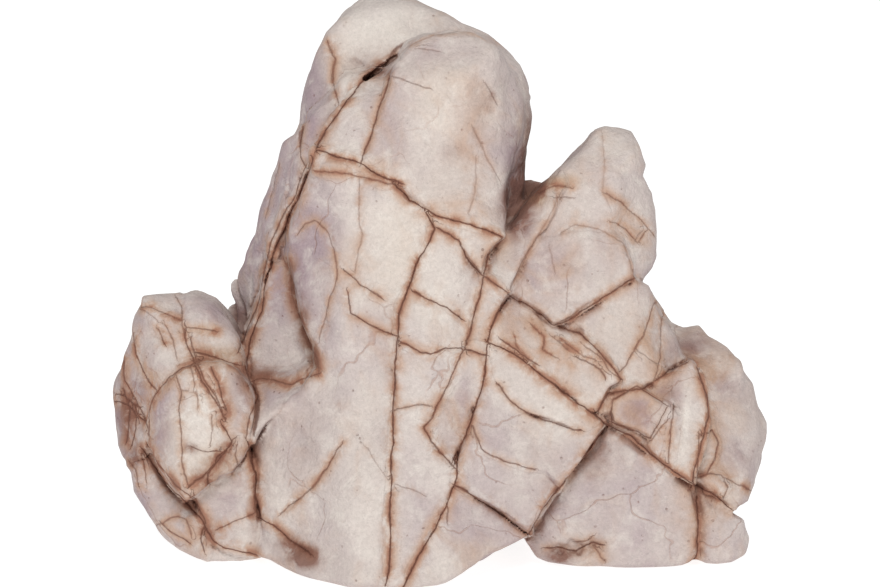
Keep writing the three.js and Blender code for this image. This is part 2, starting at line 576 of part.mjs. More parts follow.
// Signed distance to the skin of the stone, negative inside
function stoneDistance(x, y, z) {
  const faceH = z * COS_DIP + y * SIN_DIP;
  const faceT = y * COS_DIP - z * SIN_DIP;
  const shift = swell(x, faceH, faceT);
  const bentX = x + shift.x;
  const bentH = faceH + shift.h;
  const bentT = faceT + shift.t;
  const floor = FLOOR_CUT - z;
  let joined = FAR_AWAY;
  let nearest = FAR_AWAY;
  let second = FAR_AWAY;
  let cover = 0; // how far behind the face of the nearest block the place lies
  const add = (body, face) => {
    const whole = roundedMeet([body, floor], FLOOR_ROUND);
    joined = cemented(joined, whole);
    if (whole < nearest) {
      second = nearest;
      nearest = whole;
      cover = -face;
    } else {
      second = Math.min(second, whole);
    }
  };
  for (const block of FRONT_BLOCKS) {
    if (boxDistance(block.box, bentX, bentH) > joined + CEMENT) {
      continue;
    }
    const face = facesDistance(block.faces, bentX, bentH, bentT, 1);
    const narrowing = TAPER * Math.max(0, -face - TAPER_START);
    const side = outlineDistance(block.outline, bentX, bentH) - BLOCK_GROWTH + narrowing;
    add(roundedMeet([side, face, y + shift.t - block.back], block.round + EDGE_WEAR), face);
  }
  for (const block of BACK_BLOCKS) {
    if (boxDistance(block.box, bentX, z) > joined + CEMENT) {
      continue;
    }
    const side = outlineDistance(block.outline, bentX, z + shift.h) - BLOCK_GROWTH;
    const face = facesDistance(block.faces, bentX, z, y + shift.t, -1);
    add(roundedMeet([side, face, block.front - y], block.round), face);
  }
  let relief = dentDepth(bentX, bentH) * (1 - smoothStep(...FACE_END, faceT));
  CHIPS.forEach(({ size, height }, seed) => {
    relief += height * chipRelief(x, y, z, size, seed);
  });
  const inSeam = smoothStep(...SEAM_DEPTH, cover) * (1 - smoothStep(...SEAM_REACH, second - nearest));
  const worn = relief * (1 - inSeam) * smoothStep(0, FLOOR_FADE, z);
  const carved = Math.min(grooveDepth(x, y, z, faceT) + worn, Math.max(0, z));
  return withGaps(joined, bentX, bentH, bentT) + carved;
}

// Samples the distance on a grid and skins it with marching tetrahedra, which always closes
function skinOf(distanceAt, low, high, cell) {
  const count = [0, 1, 2].map((axis) => Math.ceil((high[axis] - low[axis]) / cell) + 1);
  const stride = [1, count[0], count[0] * count[1]];
  const values = new Float32Array(count[0] * count[1] * count[2]);
  const pointOf = (index) => {
    const k = Math.floor(index / stride[2]);
    const j = Math.floor((index - k * stride[2]) / stride[1]);
    const i = index - k * stride[2] - j * stride[1];
    return [low[0] + i * cell, low[1] + j * cell, low[2] + k * cell];
  };
  for (let index = 0; index < values.length; index += 1) {
    const value = distanceAt(...pointOf(index));
    values[index] = value === 0 ? 1e-4 : value;
  }

  const corners = [0, 1, 2, 3, 4, 5, 6, 7].map(
    (bits) => (bits & 1) * stride[0] + ((bits >> 1) & 1) * stride[1] + ((bits >> 2) & 1) * stride[2]);
  const tetrahedra = [[0, 1, 3, 7], [0, 3, 2, 7], [0, 2, 6, 7], [0, 6, 4, 7], [0, 4, 5, 7], [0, 5, 1, 7]];
  const points = [];
  const triangles = [];
  const cuts = new Map();
  const cutBetween = (a, b) => {
    const first = Math.min(a, b);
    const second = Math.max(a, b);
    const key = first * values.length + second;
    if (!cuts.has(key)) {
      const share = THREE.MathUtils.clamp(values[first] / (values[first] - values[second]), 0.04, 0.96);
      const from = pointOf(first);
      const to = pointOf(second);
      cuts.set(key, points.length);
      points.push(from.map((value, axis) => value + (to[axis] - value) * share));
    }
    return cuts.get(key);
  };

  for (let k = 0; k < count[2] - 1; k += 1) {
    for (let j = 0; j < count[1] - 1; j += 1) {
      for (let i = 0; i < count[0] - 1; i += 1) {
        const base = i + j * stride[1] + k * stride[2];
        const insideCount = corners.reduce((sum, offset) => sum + (values[base + offset] < 0 ? 1 : 0), 0);
        if (insideCount === 0 || insideCount === 8) {
          continue;
        }
        for (const tetrahedron of tetrahedra) {
          addTetrahedron(tetrahedron.map((corner) => base + corners[corner]), values, cutBetween, triangles);
        }
      }
    }
  }
  return { points, triangles };
}

// The corners of each tetrahedron are listed so that one fixed turn of the cut faces outwards
function addTetrahedron(ends, values, cutBetween, triangles) {
  const inside = ends.filter((end) => values[end] < 0);
  const outside = ends.filter((end) => values[end] >= 0);
  const parity = permutationParity([...inside, ...outside].map((end) => ends.indexOf(end)));
  const add = (a, b, c) => triangles.push(parity ? [a, c, b] : [a, b, c]);
  if (inside.length === 1) {
    const cut = outside.map((end) => cutBetween(inside[0], end));
    add(cut[0], cut[1], cut[2]);
  } else if (inside.length === 3) {
    const cut = inside.map((end) => cutBetween(end, outside[0]));
    add(cut[0], cut[1], cut[2]);
  } else if (inside.length === 2) {
    const near = outside.map((end) => cutBetween(inside[0], end));
    const far = outside.map((end) => cutBetween(inside[1], end));
    add(near[0], near[1], far[1]);
    add(near[0], far[1], far[0]);
  }
}

function permutationParity(order) {
  let swaps = 0;
  for (let i = 0; i < order.length; i += 1) {
    for (let j = i + 1; j < order.length; j += 1) {
      swaps += order[i] > order[j] ? 1 : 0;
    }
  }
  return swaps % 2 === 1;
}

// Keeps the largest connected piece of a skin
function largestPiece({ points, triangles }) {
  const leader = points.map((_, index) => index);
  const find = (index) => {
    let at = index;
    while (leader[at] !== at) {
      leader[at] = leader[leader[at]];
      at = leader[at];
    }
    return at;
  };
  for (const [a, b, c] of triangles) {
    leader[find(b)] = find(a);
    leader[find(c)] = find(a);
  }
  const sizes = new Map();
  for (const [a] of triangles) {
    sizes.set(find(a), (sizes.get(find(a)) ?? 0) + 1);
  }
  const largest = [...sizes].sort((one, other) => other[1] - one[1])[0][0];
  return { points, triangles: triangles.filter(([a]) => find(a) === largest) };
}

// Squared distance to a set of planes, kept as the ten numbers of a symmetric matrix
function planeQuadric(a, b, c, weight) {
  const normal = new THREE.Vector3().crossVectors(
    new THREE.Vector3().subVectors(b, a), new THREE.Vector3().subVectors(c, a));
  const area = normal.length();
  normal.normalize();
  const off = -normal.dot(a);
  const { x, y, z } = normal;
  return [x * x, x * y, x * z, x * off, y * y, y * z, y * off, z * z, z * off, off * off]
    .map((value) => value * area * weight);
}

function quadricError(q, { x, y, z }) {
  return q[0] * x * x + 2 * q[1] * x * y + 2 * q[2] * x * z + 2 * q[3] * x + q[4] * y * y
    + 2 * q[5] * y * z + 2 * q[6] * y + q[7] * z * z + 2 * q[8] * z + q[9];
}

// Point with the least error, or the best of the ends and the middle where no single point is best
function bestPoint(q, a, b) {
  const middle = new THREE.Vector3().addVectors(a, b).multiplyScalar(0.5);
  const matrix = new THREE.Matrix3().set(q[0], q[1], q[2], q[1], q[4], q[5], q[2], q[5], q[7]);
  const size = Math.abs(q[0]) + Math.abs(q[4]) + Math.abs(q[7]);
  if (Math.abs(matrix.determinant()) > 1e-4 * size ** 3) {
    const best = new THREE.Vector3(-q[3], -q[6], -q[8]).applyMatrix3(matrix.invert());
    if (best.distanceTo(middle) < 1.5 * a.distanceTo(b)) {
      return best;
    }
  }
  return [middle, a, b].sort((one, other) => quadricError(q, one) - quadricError(q, other))[0].clone();
}

// Smallest-first queue of edges
class EdgeQueue {
  constructor() {
    this.items = [];
  }

  push(item) {
    const { items } = this;
    let at = items.length;
    items.push(item);
    while (at > 0 && items[(at - 1) >> 1].cost > item.cost) {
      items[at] = items[(at - 1) >> 1];
      at = (at - 1) >> 1;
    }
    items[at] = item;
  }

  pop() {
    const { items } = this;
    const top = items[0];
    const last = items.pop();
    if (items.length > 0) {
      let at = 0;
      while (2 * at + 1 < items.length) {
        let child = 2 * at + 1;
        if (child + 1 < items.length && items[child + 1].cost < items[child].cost) {
          child += 1;
        }
        if (items[child].cost >= last.cost) {
          break;
        }
        items[at] = items[child];
        at = child;
      }
      items[at] = last;
    }
    return top;
  }
}

// Joins the ends of the edges that matter least until the skin has the wanted number of triangles
function simplify({ points, triangles }, goal) {
  const places = points.map((point) => new THREE.Vector3(...point));
  const faces = triangles.map((triangle) => [...triangle]);
  const around = places.map(() => new Set());
  const quadrics = places.map(() => new Array(10).fill(0));
  faces.forEach((face, index) => {
    const plane = planeQuadric(...face.map((vertex) => places[vertex]), 1);
    for (const vertex of face) {
      around[vertex].add(index);
      plane.forEach((value, entry) => {
        quadrics[vertex][entry] += value;
      });
    }
  });

  const stamp = new Uint32Array(places.length);
  const queue = new EdgeQueue();
  const neighbours = (vertex) => {
    const found = new Set();
    for (const face of around[vertex]) {
      for (const other of faces[face]) {
        found.add(other);
      }
    }
    found.delete(vertex);
    return found;
  };
  const offer = (a, b) => {
    const joined = quadrics[a].map((value, entry) => value + quadrics[b][entry]);
    const place = bestPoint(joined, places[a], places[b]);
    const cost = quadricError(joined, place) + 1e-3 * places[a].distanceToSquared(places[b]);
    queue.push({ a, b, cost, place, stampA: stamp[a], stampB: stamp[b] });
  };
  places.forEach((_, vertex) => {
    for (const other of neighbours(vertex)) {
      if (vertex < other) {
        offer(vertex, other);
      }
    }
  });

  const keepsFaces = (vertex, other, place) => {
    for (const face of around[vertex]) {
      if (faces[face].includes(other)) {
        continue;
      }
      const before = faces[face].map((corner) => places[corner]);
      const after = faces[face].map((corner) => (corner === vertex ? place : places[corner]));
      const oldNormal = new THREE.Triangle(...before).getNormal(new THREE.Vector3());
      const newTriangle = new THREE.Triangle(...after);
      const newNormal = newTriangle.getNormal(new THREE.Vector3());
      const longest = Math.max(after[0].distanceTo(after[1]), after[1].distanceTo(after[2]),
        after[2].distanceTo(after[0]));
      const leastArea = LEAST_FULLNESS * longest * longest;
      if (oldNormal.dot(newNormal) < LEAST_TURN || newTriangle.getArea() < leastArea) {
        return false;
      }
    }
    return true;
  };

  let left = faces.length;
  let refused = [];
  while (left > goal && queue.items.length > 0) {
    const { a, b, place, stampA, stampB } = queue.pop();
    if (stamp[a] !== stampA || stamp[b] !== stampB) {
      continue;
    }
    const near = neighbours(b);
    const shared = [...neighbours(a)].filter((vertex) => near.has(vertex));
    if (shared.length !== 2 || !keepsFaces(a, b, place) || !keepsFaces(b, a, place)) {
      refused.push([a, b]);
      continue;
    }
    if (refused.length > RETRY_AFTER) {
      const again = refused.filter((pair) => pair.every((vertex) => around[vertex].size > 0));
      refused = [];
      again.filter(([one, other]) => neighbours(one).has(other)).forEach((pair) => offer(...pair));
    }
    places[a].copy(place);
    quadrics[a] = quadrics[a].map((value, entry) => value + quadrics[b][entry]);
    for (const face of around[b]) {
      if (faces[face].includes(a)) {
        faces[face].forEach((corner) => around[corner].delete(face));
        faces[face] = null;
        left -= 1;
      } else {
        faces[face][faces[face].indexOf(b)] = a;
        around[a].add(face);
      }
    }
    around[b].clear();
    stamp[b] += 1;
    stamp[a] += 1;
    for (const other of neighbours(a)) {
      offer(a, other);
    }
  }
  return { places, faces: faces.filter((face) => face !== null) };
}

function geometryOf({ places, faces }) {
  const geometry = new THREE.BufferGeometry();
  const corners = [];
  for (const face of faces) {
    for (const corner of face) {
      const { x, y, z } = places[corner];
      const height = z < FLOOR_CUT + FLOOR_SNAP ? FLOOR_CUT : z;
      corners.push(x - ORIGIN_X, y - ORIGIN_Y, height);
    }
  }
  geometry.setAttribute("position", new THREE.Float32BufferAttribute(corners, 3));
  geometry.computeVertexNormals();
  return geometry;
}

function makeSandstone() {
  const low = [-165 - MARGIN, -MARGIN, FLOOR_CUT - 1.5 * CELL];
  const high = [165 + MARGIN, 205 + MARGIN, 282 + MARGIN];
  const skin = largestPiece(skinOf(stoneDistance, low, high, CELL));
  const material = new THREE.MeshStandardMaterial({ color: 0xd3c4bb, roughness: 0.92, metalness: 0 });
  const sandstone = new THREE.Mesh(geometryOf(simplify(skin, TRIANGLE_GOAL)), material);
  sandstone.name = "sandstone";
  return sandstone;
}

const stone = new THREE.Group();
stone.add(makeSandstone());

export default stone;
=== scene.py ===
"""Looks of the sandstone: a fine weathered skin, its rust-lined joints and the studio around it.

The skin is made from the joint blocks of the solid model, in millimetres in the same frame, with the
three hidden cores a little fuller. On it lie the finer cracks, pits and grain, and the colours follow
the cracks, hollows and beds, with painted shade in the hollows and on faces turned from the light
and a painted highlight on the ridges.
"""

import math

import bpy
import numpy as np
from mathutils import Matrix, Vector


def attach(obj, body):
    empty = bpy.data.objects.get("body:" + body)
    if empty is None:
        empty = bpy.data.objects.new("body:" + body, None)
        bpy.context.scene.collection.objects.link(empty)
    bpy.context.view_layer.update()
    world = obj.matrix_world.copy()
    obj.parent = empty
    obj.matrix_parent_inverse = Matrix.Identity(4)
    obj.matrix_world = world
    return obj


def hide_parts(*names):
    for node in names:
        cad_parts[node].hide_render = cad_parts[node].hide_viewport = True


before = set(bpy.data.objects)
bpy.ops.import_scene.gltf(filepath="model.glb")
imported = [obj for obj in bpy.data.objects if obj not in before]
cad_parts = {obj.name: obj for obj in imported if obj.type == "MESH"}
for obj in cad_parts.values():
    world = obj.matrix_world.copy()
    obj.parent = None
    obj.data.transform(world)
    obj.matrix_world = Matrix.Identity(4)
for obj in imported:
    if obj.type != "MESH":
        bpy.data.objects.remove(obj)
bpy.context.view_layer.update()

# Driving dimensions, in millimetres, as in the solid model
JOINT_DIP = math.radians(12)
ORIGIN_X = -0.5
ORIGIN_Y = 103.5
BLOCK_GROWTH = 0.5
CEMENT = 4.5
FACE_BLEND = 3
FLOOR_ROUND = 5
TAPER_START = 34
TAPER = 0.16

# The fine skin
CELL = 1.05
COARSE_STEPS = 8
RELIEF_STEPS = 2
HALF_DIAGONAL = 0.87
BAND = 1.35
BAND_MARGIN = 1.2
SKIN_LOW = (-176.0, -7.0, -COARSE_STEPS * CELL / 2)
SKIN_HIGH = (176.0, 214.0, 290.0)
FOOT_SNAP = 0.02
FAR = 1000.0
SKIP_MARGIN = 5
TRIANGLE_LIMIT = 196000
MILLIMETRE = 0.001

# Slow swell of the rock: its height at the front, what it gains behind, and where it gains it
SWELL_FRONT = 0.8
SWELL_BEHIND = 1.8
SWELL_DEPTHS = (45, 110)
RIPPLE = 0.3
FACE_RIPPLE = 0.5
FACE_FLUTTER = 0.25

# The finer relief: size of the forms and how high they stand
CHIPS = ((29.0, 2.4), (13.0, 1.2))
LUMPS = ((6.0, 0.22), (3.0, 0.12))
EDGE_CHIPS = (5.0, 0.8)
EDGE_REACH = 4
SEAM_DEPTH = (2.0, 6.0)
SEAM_REACH = (2.0, 6.0)
RELIEF_REACH = 9
# Reach of the probe for the ridges' painted highlight and wear
RIDGE_REACH = 4
# Reaches of the probes for the painted shade in hollows
HOLLOW_REACHES = (3.0, 8.0, 16.0)
FLOOR_FADE = 8
CRACK_DEPTH = 0.6
CRACK_WIDTH = 0.95
CRACK_THINNEST = 0.5
CRACK_WIDENING = 0.35
CRACK_WALLS = 3
CRACK_REACH = 16
CRACKS_END = 118
CRACKS_FADE = 20

COS_DIP = math.cos(JOINT_DIP)
SIN_DIP = math.sin(JOINT_DIP)

# Front blocks. An outline is drawn on the face of the stone: x to the right, then h up the face.
# A face is a plane through x, h at depth t, falling back by so much for each millimetre of x and of h.
FRONT_BLOCKS = [
    {
        "name": "core", "back": 165, "round": 5,
        "outline": [(-60, 206), (-82, 192), (-95, 162), (-104, 138), (-98, 110), (-93, 75), (-88, 24),
            (-70, 12), (-26, 4), (-7, 11), (25, 25), (44, 36), (60, 60), (92, 84), (104, 104),
            (92, 140), (60, 152), (34, 164), (28, 180), (27, 205), (22, 225), (0, 235), (-24, 230),
            (-42, 216)],
        "faces": [(-20, 120, 40, 0, 0.1), (-85, 130, 72, -1, 0)],
    },
    {
        "name": "core of the left lobe", "back": 140, "round": 5,
        "outline": [(-150, 134), (-112, 130), (-80, 106), (-76, 24), (-112, 22), (-140, 44), (-152, 70),
            (-157, 100)],
        "faces": [(-120, 80, 62, -0.1, 0)],
    },
    {
        "name": "core of the right side", "back": 150, "round": 5,
        "outline": [(60, 130), (92, 140), (118, 112), (150, 104), (154, 62), (146, 40), (140, 16),
            (90, 14), (60, 18), (46, 36)],
        "faces": [(110, 70, 52, 0.15, 0)],
    },
    {
        "name": "rear tower", "back": 182, "round": 6,
        "outline": [(-70, 212), (-70.5, 232), (-68, 250), (-63.5, 268.5), (-58, 281), (-50, 288.5),
            (-39, 296), (-27, 298), (-14, 297), (0, 291.5), (9, 286), (22, 278.5), (30, 271), (40, 261),
            (45.5, 251), (45, 236), (41, 218), (35, 205), (27, 190), (24, 172), (18, 160),
            (-30, 160), (-60, 180)],
        "faces": [(-20, 250, 52, 0.05, 0.3), (-56, 262, 54, -1.05, 0.1), (-40, 292, 68, 0, 1.5),
            (28, 266, 62, 0.9, 0.5)],
    },
    {
        "name": "saddle", "back": 150, "round": 5,
        "outline": [(30, 160), (30, 200), (44, 206), (57, 207.5), (70, 195), (80, 160)],
        "faces": [(50, 190, 96, 0, 0.2)],
    },
    {
        "name": "left cap", "back": 90, "round": 2.5,
        "outline": [(-60, 219), (-57, 231), (-50, 241), (-41, 252), (-35.5, 255), (-26.5, 256.5),
            (-29, 245), (-31.5, 232), (-37, 212.5), (-47.5, 215)],
        "faces": [(-45, 232, 26, -0.35, 0.15), (-40, 250, 32, -0.3, 1.2)],
    },
    {
        "name": "ledge under the cap", "back": 90, "round": 2,
        "outline": [(-62, 219), (-50, 216), (-38, 214), (-30, 209), (-22, 204), (-30, 202), (-45, 204),
            (-62, 207)],
        "faces": [(-45, 210, 20, -0.25, 0.1)],
    },
    {
        "name": "head", "back": 115, "round": 4,
        "outline": [(-37, 212.5), (-31.5, 232), (-29, 245), (-26.5, 256.5), (-22.5, 265), (-14, 273),
            (-8, 276), (4, 277.5), (16, 276), (28.5, 270), (37.5, 259), (41, 245), (40.5, 230),
            (37, 220), (33.5, 206), (33.5, 190), (30, 176), (20, 179), (8, 182), (-2, 186), (-8, 192),
            (-17.5, 200), (-25, 207.5)],
        "faces": [(-2, 225, 13, 0.06, 0.04), (22, 225, 18, 0.7, 0.06), (33, 225, 30, 2, 0.1),
            (0, 262, 20, 0, 0.8), (-27, 235, 17, -0.4, 0.05)],
    },
    {
        "name": "broad body", "back": 105, "round": 3.5,
        "outline": [(-61, 215), (-50, 212), (-38, 209), (-30, 206.5), (-24, 203.5), (-15, 196),
            (-7, 191.5), (-1.5, 184.5), (-7, 174), (-10, 164), (-18, 145), (-21.5, 127), (-23.5, 112),
            (-23, 85), (-23.5, 60), (-25.5, 35), (-25, 12), (-26, -4), (-45, -4), (-56, 1), (-70, 6.5),
            (-78, 11), (-85, 15), (-92, 17), (-89, 24), (-90.5, 38), (-92, 57), (-95.5, 74), (-89, 83),
            (-80, 92), (-68.5, 101), (-61.5, 111), (-62, 122), (-67, 136), (-72, 152), (-77.5, 166),
            (-76, 176), (-70, 192), (-64, 205)],
        "faces": [(-35, 100, 13, -0.03, 0.04), (-60, 60, 22, -0.75, 0.02), (-66, 170, 27, -0.75, 0.02),
            (-40, 206, 16, -0.1, 0.6)],
    },
    {
        "name": "left flank", "back": 130, "round": 4,
        "outline": [(-70.5, 233.5), (-81, 224), (-87, 210.5), (-90.5, 195.5), (-92, 182.5),
            (-94.5, 170),
            (-100, 160), (-109.5, 147.5), (-116.5, 139), (-113.5, 131), (-99.5, 122.5),
            (-96.5, 132.5), (-90.5, 152.5), (-87, 167.5), (-79.5, 184), (-72.5, 195), (-66.5, 211),
            (-69, 224)],
        "faces": [(-80, 165, 60, -1.5, 0.1)],
    },
    {
        "name": "sliver between the twin cracks", "back": 120, "round": 1.6,
        "outline": [(-66.5, 211), (-61, 219), (-65, 207.5), (-70.5, 195), (-77.5, 180), (-84.5, 166),
            (-89, 152.5), (-91, 137.5), (-95, 125), (-97, 111), (-99.5, 120), (-96.5, 132.5),
            (-90.5, 152.5), (-87, 167.5), (-79.5, 184), (-72.5, 195)],
        "faces": [(-80, 170, 55, -0.9, 0)],
    },
    {
        "name": "hollow of the left side", "back": 120, "round": 2,
        "outline": [(-70.5, 195), (-77.5, 180), (-84.5, 166), (-89, 152.5), (-91, 137.5), (-95, 125),
            (-97, 111), (-88, 106), (-67, 108), (-60, 112), (-62, 122), (-67, 136), (-72, 152),
            (-77, 166), (-75, 176), (-69, 192)],
        "faces": [(-78, 140, 58, -0.3, 0.1)],
    },
    {
        "name": "slope under the hollow", "back": 120, "round": 2,
        "outline": [(-97, 112), (-88, 108), (-76, 107), (-61, 112), (-68.5, 101), (-80, 92), (-89, 83),
            (-96, 74), (-99, 92)],
        "faces": [(-82, 98, 44, -0.55, 0.75)],
    },
    {
        "name": "long slab", "back": 90, "round": 2.5,
        "outline": [(-3, 183), (5, 177.5), (11, 171.5), (15, 164), (20, 157.5), (20.5, 145), (17, 134),
            (14, 124), (11, 118), (5, 107), (-1, 95), (-4, 87.5), (-8, 83), (-3, 74), (7, 63), (9, 60),
            (6, 53), (0, 42), (-6, 27.5), (-14, 11), (-19, -4), (-26, -4), (-25, 12), (-25.5, 35),
            (-23.5, 60), (-23, 85), (-23.5, 112), (-21.5, 127), (-18, 145), (-10, 164), (-7, 174)],
        "faces": [(-12, 120, 10, 0.08, 0.03), (8, 130, 14, 0.5, 0.05)],
    },
    {
        "name": "pink wedge of the slab", "back": 90, "round": 2,
        "outline": [(-1, 94), (11.5, 120), (17, 124.5), (25, 121), (25, 113), (19, 98), (11.5, 74),
            (7, 63), (-7, 83)],
        "faces": [(8, 92, 13, 0.15, -0.05)],
    },
    {
        "name": "hooked wedge", "back": 90, "round": 2,
        "outline": [(-1.5, 185.5), (7.5, 182), (20, 179), (30, 176), (25, 170), (22, 164), (20.5, 157),
            (15, 164), (11, 171.5), (5, 177.5), (-2, 182)],
        "faces": [(15, 172, 16, 0.1, 0.1)],
    },
    {
        "name": "middle strip", "back": 90, "round": 2,
        "outline": [(20.5, 157), (23.5, 156.5), (34.5, 148.5), (30, 140), (27, 130), (24, 122),
            (20, 122.5), (15, 125), (17, 134), (20.5, 145)],
        "faces": [(24, 138, 16, 0.15, 0.05)],
    },
    {
        "name": "upper plate", "back": 90, "round": 2,
        "outline": [(25, 120), (31.5, 122), (40, 117), (52.5, 108), (62.5, 99), (72.5, 91), (80.5, 84),
            (69, 81), (55, 86.5), (40, 90), (29.5, 98.5), (25.5, 107.5)],
        "faces": [(45, 100, 14, 0.12, 0.1)],
    },
    {
        "name": "middle plate", "back": 90, "round": 2.2,
        "outline": [(24, 115), (25.5, 107.5), (29.5, 98.5), (40, 90), (55, 86.5), (69, 81), (81, 83),
            (75, 71.5), (69, 64), (60, 53), (52.5, 61), (40, 62.5), (30, 66.5), (20.5, 70.5), (17, 75),
            (15, 82.5), (19, 95), (21, 105)],
        "faces": [(45, 75, 13, 0.15, 0.08)],
    },
    {
        "name": "lower plate", "back": 90, "round": 2.2,
        "outline": [(15, 81), (20.5, 70.5), (30, 66.5), (40, 62.5), (52.5, 61), (61, 54), (52.5, 42.5),
            (44, 30), (32.5, 37.5), (20, 46.5), (7, 54), (10, 62), (12.5, 72)],
        "faces": [(35, 52, 13, 0.25, 0.05)],
    },
    {
        "name": "toe", "back": 90, "round": 2.5,
        "outline": [(7, 54), (20, 46.5), (32.5, 37.5), (44, 29.5), (37.5, 26), (25, 20), (12.5, 12.5),
            (2.5, 7), (-7.5, 5), (-14, 1), (-19, -4), (-14, 11), (-6, 27.5), (0, 42)],
        "faces": [(5, 25, 9, 0.24, 0.05)],
    },
    {
        "name": "right tower", "back": 130, "round": 4.5,
        "outline": [(30, 175), (23.5, 166), (21, 157), (24, 156), (35, 149), (50, 138), (56.5, 132.5),
            (72.5, 140), (90, 151), (96, 155), (100.5, 157), (106, 162), (109.5, 168), (110, 180),
            (109.5, 192), (107.5, 200), (100.5, 207.5), (102, 213.5), (99, 219), (95.5, 225.5),
            (93.5, 229), (88, 231), (82, 232), (77, 229), (71.5, 221.5), (62.5, 212), (56, 205),
            (45, 195), (37.5, 184)],
        "faces": [(75, 185, 34, 0.06, 0.12), (45, 180, 31, -0.45, 0.3), (98, 190, 46, 0.9, 0.1),
            (86, 222, 48, 0.1, 0.9)],
    },
    {
        "name": "left bevel of the right tower", "back": 100, "round": 2.5,
        "outline": [(22.5, 164), (30, 175), (45, 192.5), (54, 202.5), (61.5, 209), (64, 203),
            (60, 197.5),
            (50, 181), (40, 165), (34, 150), (24, 157)],
        "faces": [(40, 175, 26, -0.2, 0.32)],
    },
    {
        "name": "face of the right tower", "back": 100, "round": 3.5,
        "outline": [(35, 148), (50, 138), (56.5, 132.5), (66, 136), (80, 145), (96, 155), (93, 166),
            (90, 174), (82, 179), (66, 182), (55, 184), (47, 174), (40.5, 163)],
        "faces": [(65, 160, 25, 0.06, 0.22), (48, 160, 26, -0.15, 0.15), (70, 178, 33, 0, 1)],
    },
    {
        "name": "shoulder", "back": 120, "round": 3,
        "outline": [(66, 135), (72.5, 139), (90, 150.5), (97, 154.5), (103, 152), (108, 145),
            (112.5, 136), (118, 127.5), (123.5, 116), (115, 110), (107.5, 104), (100, 102), (92.5, 105),
            (86, 111), (80, 119), (74, 127.5)],
        "faces": [(90, 130, 29, 0.15, 0.12), (108, 135, 38, 1, 0.3)],
    },
    {
        "name": "white band", "back": 90, "round": 2.2,
        "outline": [(34.5, 148), (42.5, 143.5), (50, 137.5), (56.5, 132), (66, 134), (74, 126.5),
            (80, 118.5), (86, 110), (89, 105), (82.5, 102), (80, 95), (78, 88), (72.5, 91), (62.5, 99),
            (52.5, 108), (40, 117), (31.5, 122), (25, 122.5), (27, 130), (30, 140)],
        "faces": [(55, 115, 17, 0.15, 0.05), (66, 130, 23, 0.2, 0.5)],
    },
    {
        "name": "bed of the small blocks", "back": 110, "round": 2.5,
        "outline": [(78, 88), (89, 106), (104, 102), (125, 114), (130, 105), (133, 85), (129, 67.5),
            (127, 55), (112.5, 63.5), (100, 72), (90, 78.5), (81.5, 84)],
        "faces": [(105, 85, 30, 0.15, 0.1)],
    },
    {
        "name": "knob beside the square block", "back": 90, "round": 2,
        "outline": [(79, 89), (83, 98), (91, 102.5), (99, 102), (92, 95), (84, 88)],
        "faces": [(88, 96, 25, 0.1, 0.15)],
    },
    {
        "name": "square block", "back": 90, "round": 2,
        "outline": [(85, 94), (97, 101), (111.5, 93), (105, 76), (85, 84)],
        "faces": [(98, 88, 23.5, 0.12, 0.1)],
    },
    {
        "name": "chip", "back": 90, "round": 1.8,
        "outline": [(111, 93), (118, 87), (116, 63), (104, 73)],
        "faces": [(111, 80, 26.5, 0.12, 0)],
    },
    {
        "name": "blade", "back": 90, "round": 2.2,
        "outline": [(125, 114), (130, 105), (133, 85), (129, 67.5), (126, 56), (119, 61), (119, 75),
            (121, 90), (116, 97.5), (117.5, 107.5)],
        "faces": [(124, 85, 31, 0.15, 0.1)],
    },
    {
        "name": "far right block", "back": 125, "round": 5,
        "outline": [(117.5, 128.5), (129, 128.5), (134.5, 123), (145, 119), (152, 113.5), (159, 103),
            (160.5, 95), (163.5, 84), (162.5, 77), (161, 66), (157.5, 53), (154, 45), (146, 40),
            (137.5, 46), (130, 51), (127, 55), (125, 75), (128, 87.5), (126, 102.5), (122, 114),
            (118, 117)],
        "faces": [(140, 85, 50, 0.3, 0.1), (154, 80, 57, 1.2, 0.1), (135, 118, 60, 0.2, 1)],
    },
    {
        "name": "oval pebble", "back": 90, "round": 3,
        "outline": [(130, 77.5), (136, 80), (139, 72.5), (138, 65), (134, 58), (128.5, 59)],
        "faces": [(134, 68, 44, 0.1, 0)],
    },
    {
        "name": "small nodule", "back": 90, "round": 3,
        "outline": [(128.5, 55), (135, 58), (141, 57), (144.5, 52), (141, 46), (134, 49)],
        "faces": [(136, 52, 42, 0.1, 0)],
    },
    {
        "name": "smooth foot block", "back": 120, "round": 5,
        "outline": [(82, 83), (100, 71.5), (112.5, 63), (126, 54.5), (128, 45), (129, 30), (128.5, 16),
            (120, 12), (105, 10), (87.5, 9), (67.5, 10.5), (53, 13), (48, 16.5), (45, 23.5),
            (44.5, 29.5), (52.5, 42), (61, 53.5), (75, 71)],
        "faces": [(88, 40, 38, 0.04, -0.2), (55, 30, 42, -0.5, -0.2)],
    },
    {
        "name": "nub", "back": 110, "round": 10,
        "outline": [(130, 48.5), (137.5, 44.5), (145, 39), (151, 31.5), (153, 25), (151, 16.5),
            (146, 11), (138, 9.5), (131, 11), (128, 19), (129, 35)],
        "faces": [(140, 28, 46, 0.1, -0.1)],
    },
    {
        "name": "top of the lobe", "back": 120, "round": 4.5,
        "outline": [(-150, 146), (-145, 148), (-134, 147.5), (-125, 147.5), (-116, 143), (-109, 134),
            (-101, 124), (-97, 113), (-98, 104), (-120, 95), (-140, 85), (-150, 66), (-157.5, 62),
            (-160, 65.5), (-163, 72), (-163.5, 88), (-162, 102.5), (-159, 115), (-154.5, 126),
            (-153.5, 137)],
        "faces": [(-128, 120, 46, 0, 0.15), (-150, 100, 56, -1.2, 0.05), (-130, 140, 52, 0, 0.9)],
    },
    {
        "name": "oval of the lobe", "back": 100, "round": 7,
        "outline": [(-145, 92), (-141, 99), (-135, 106), (-127.5, 112), (-118, 115), (-108, 114.5),
            (-101, 111), (-96.5, 104), (-94.5, 95), (-94.5, 82.5), (-96, 72), (-103, 60), (-115, 54),
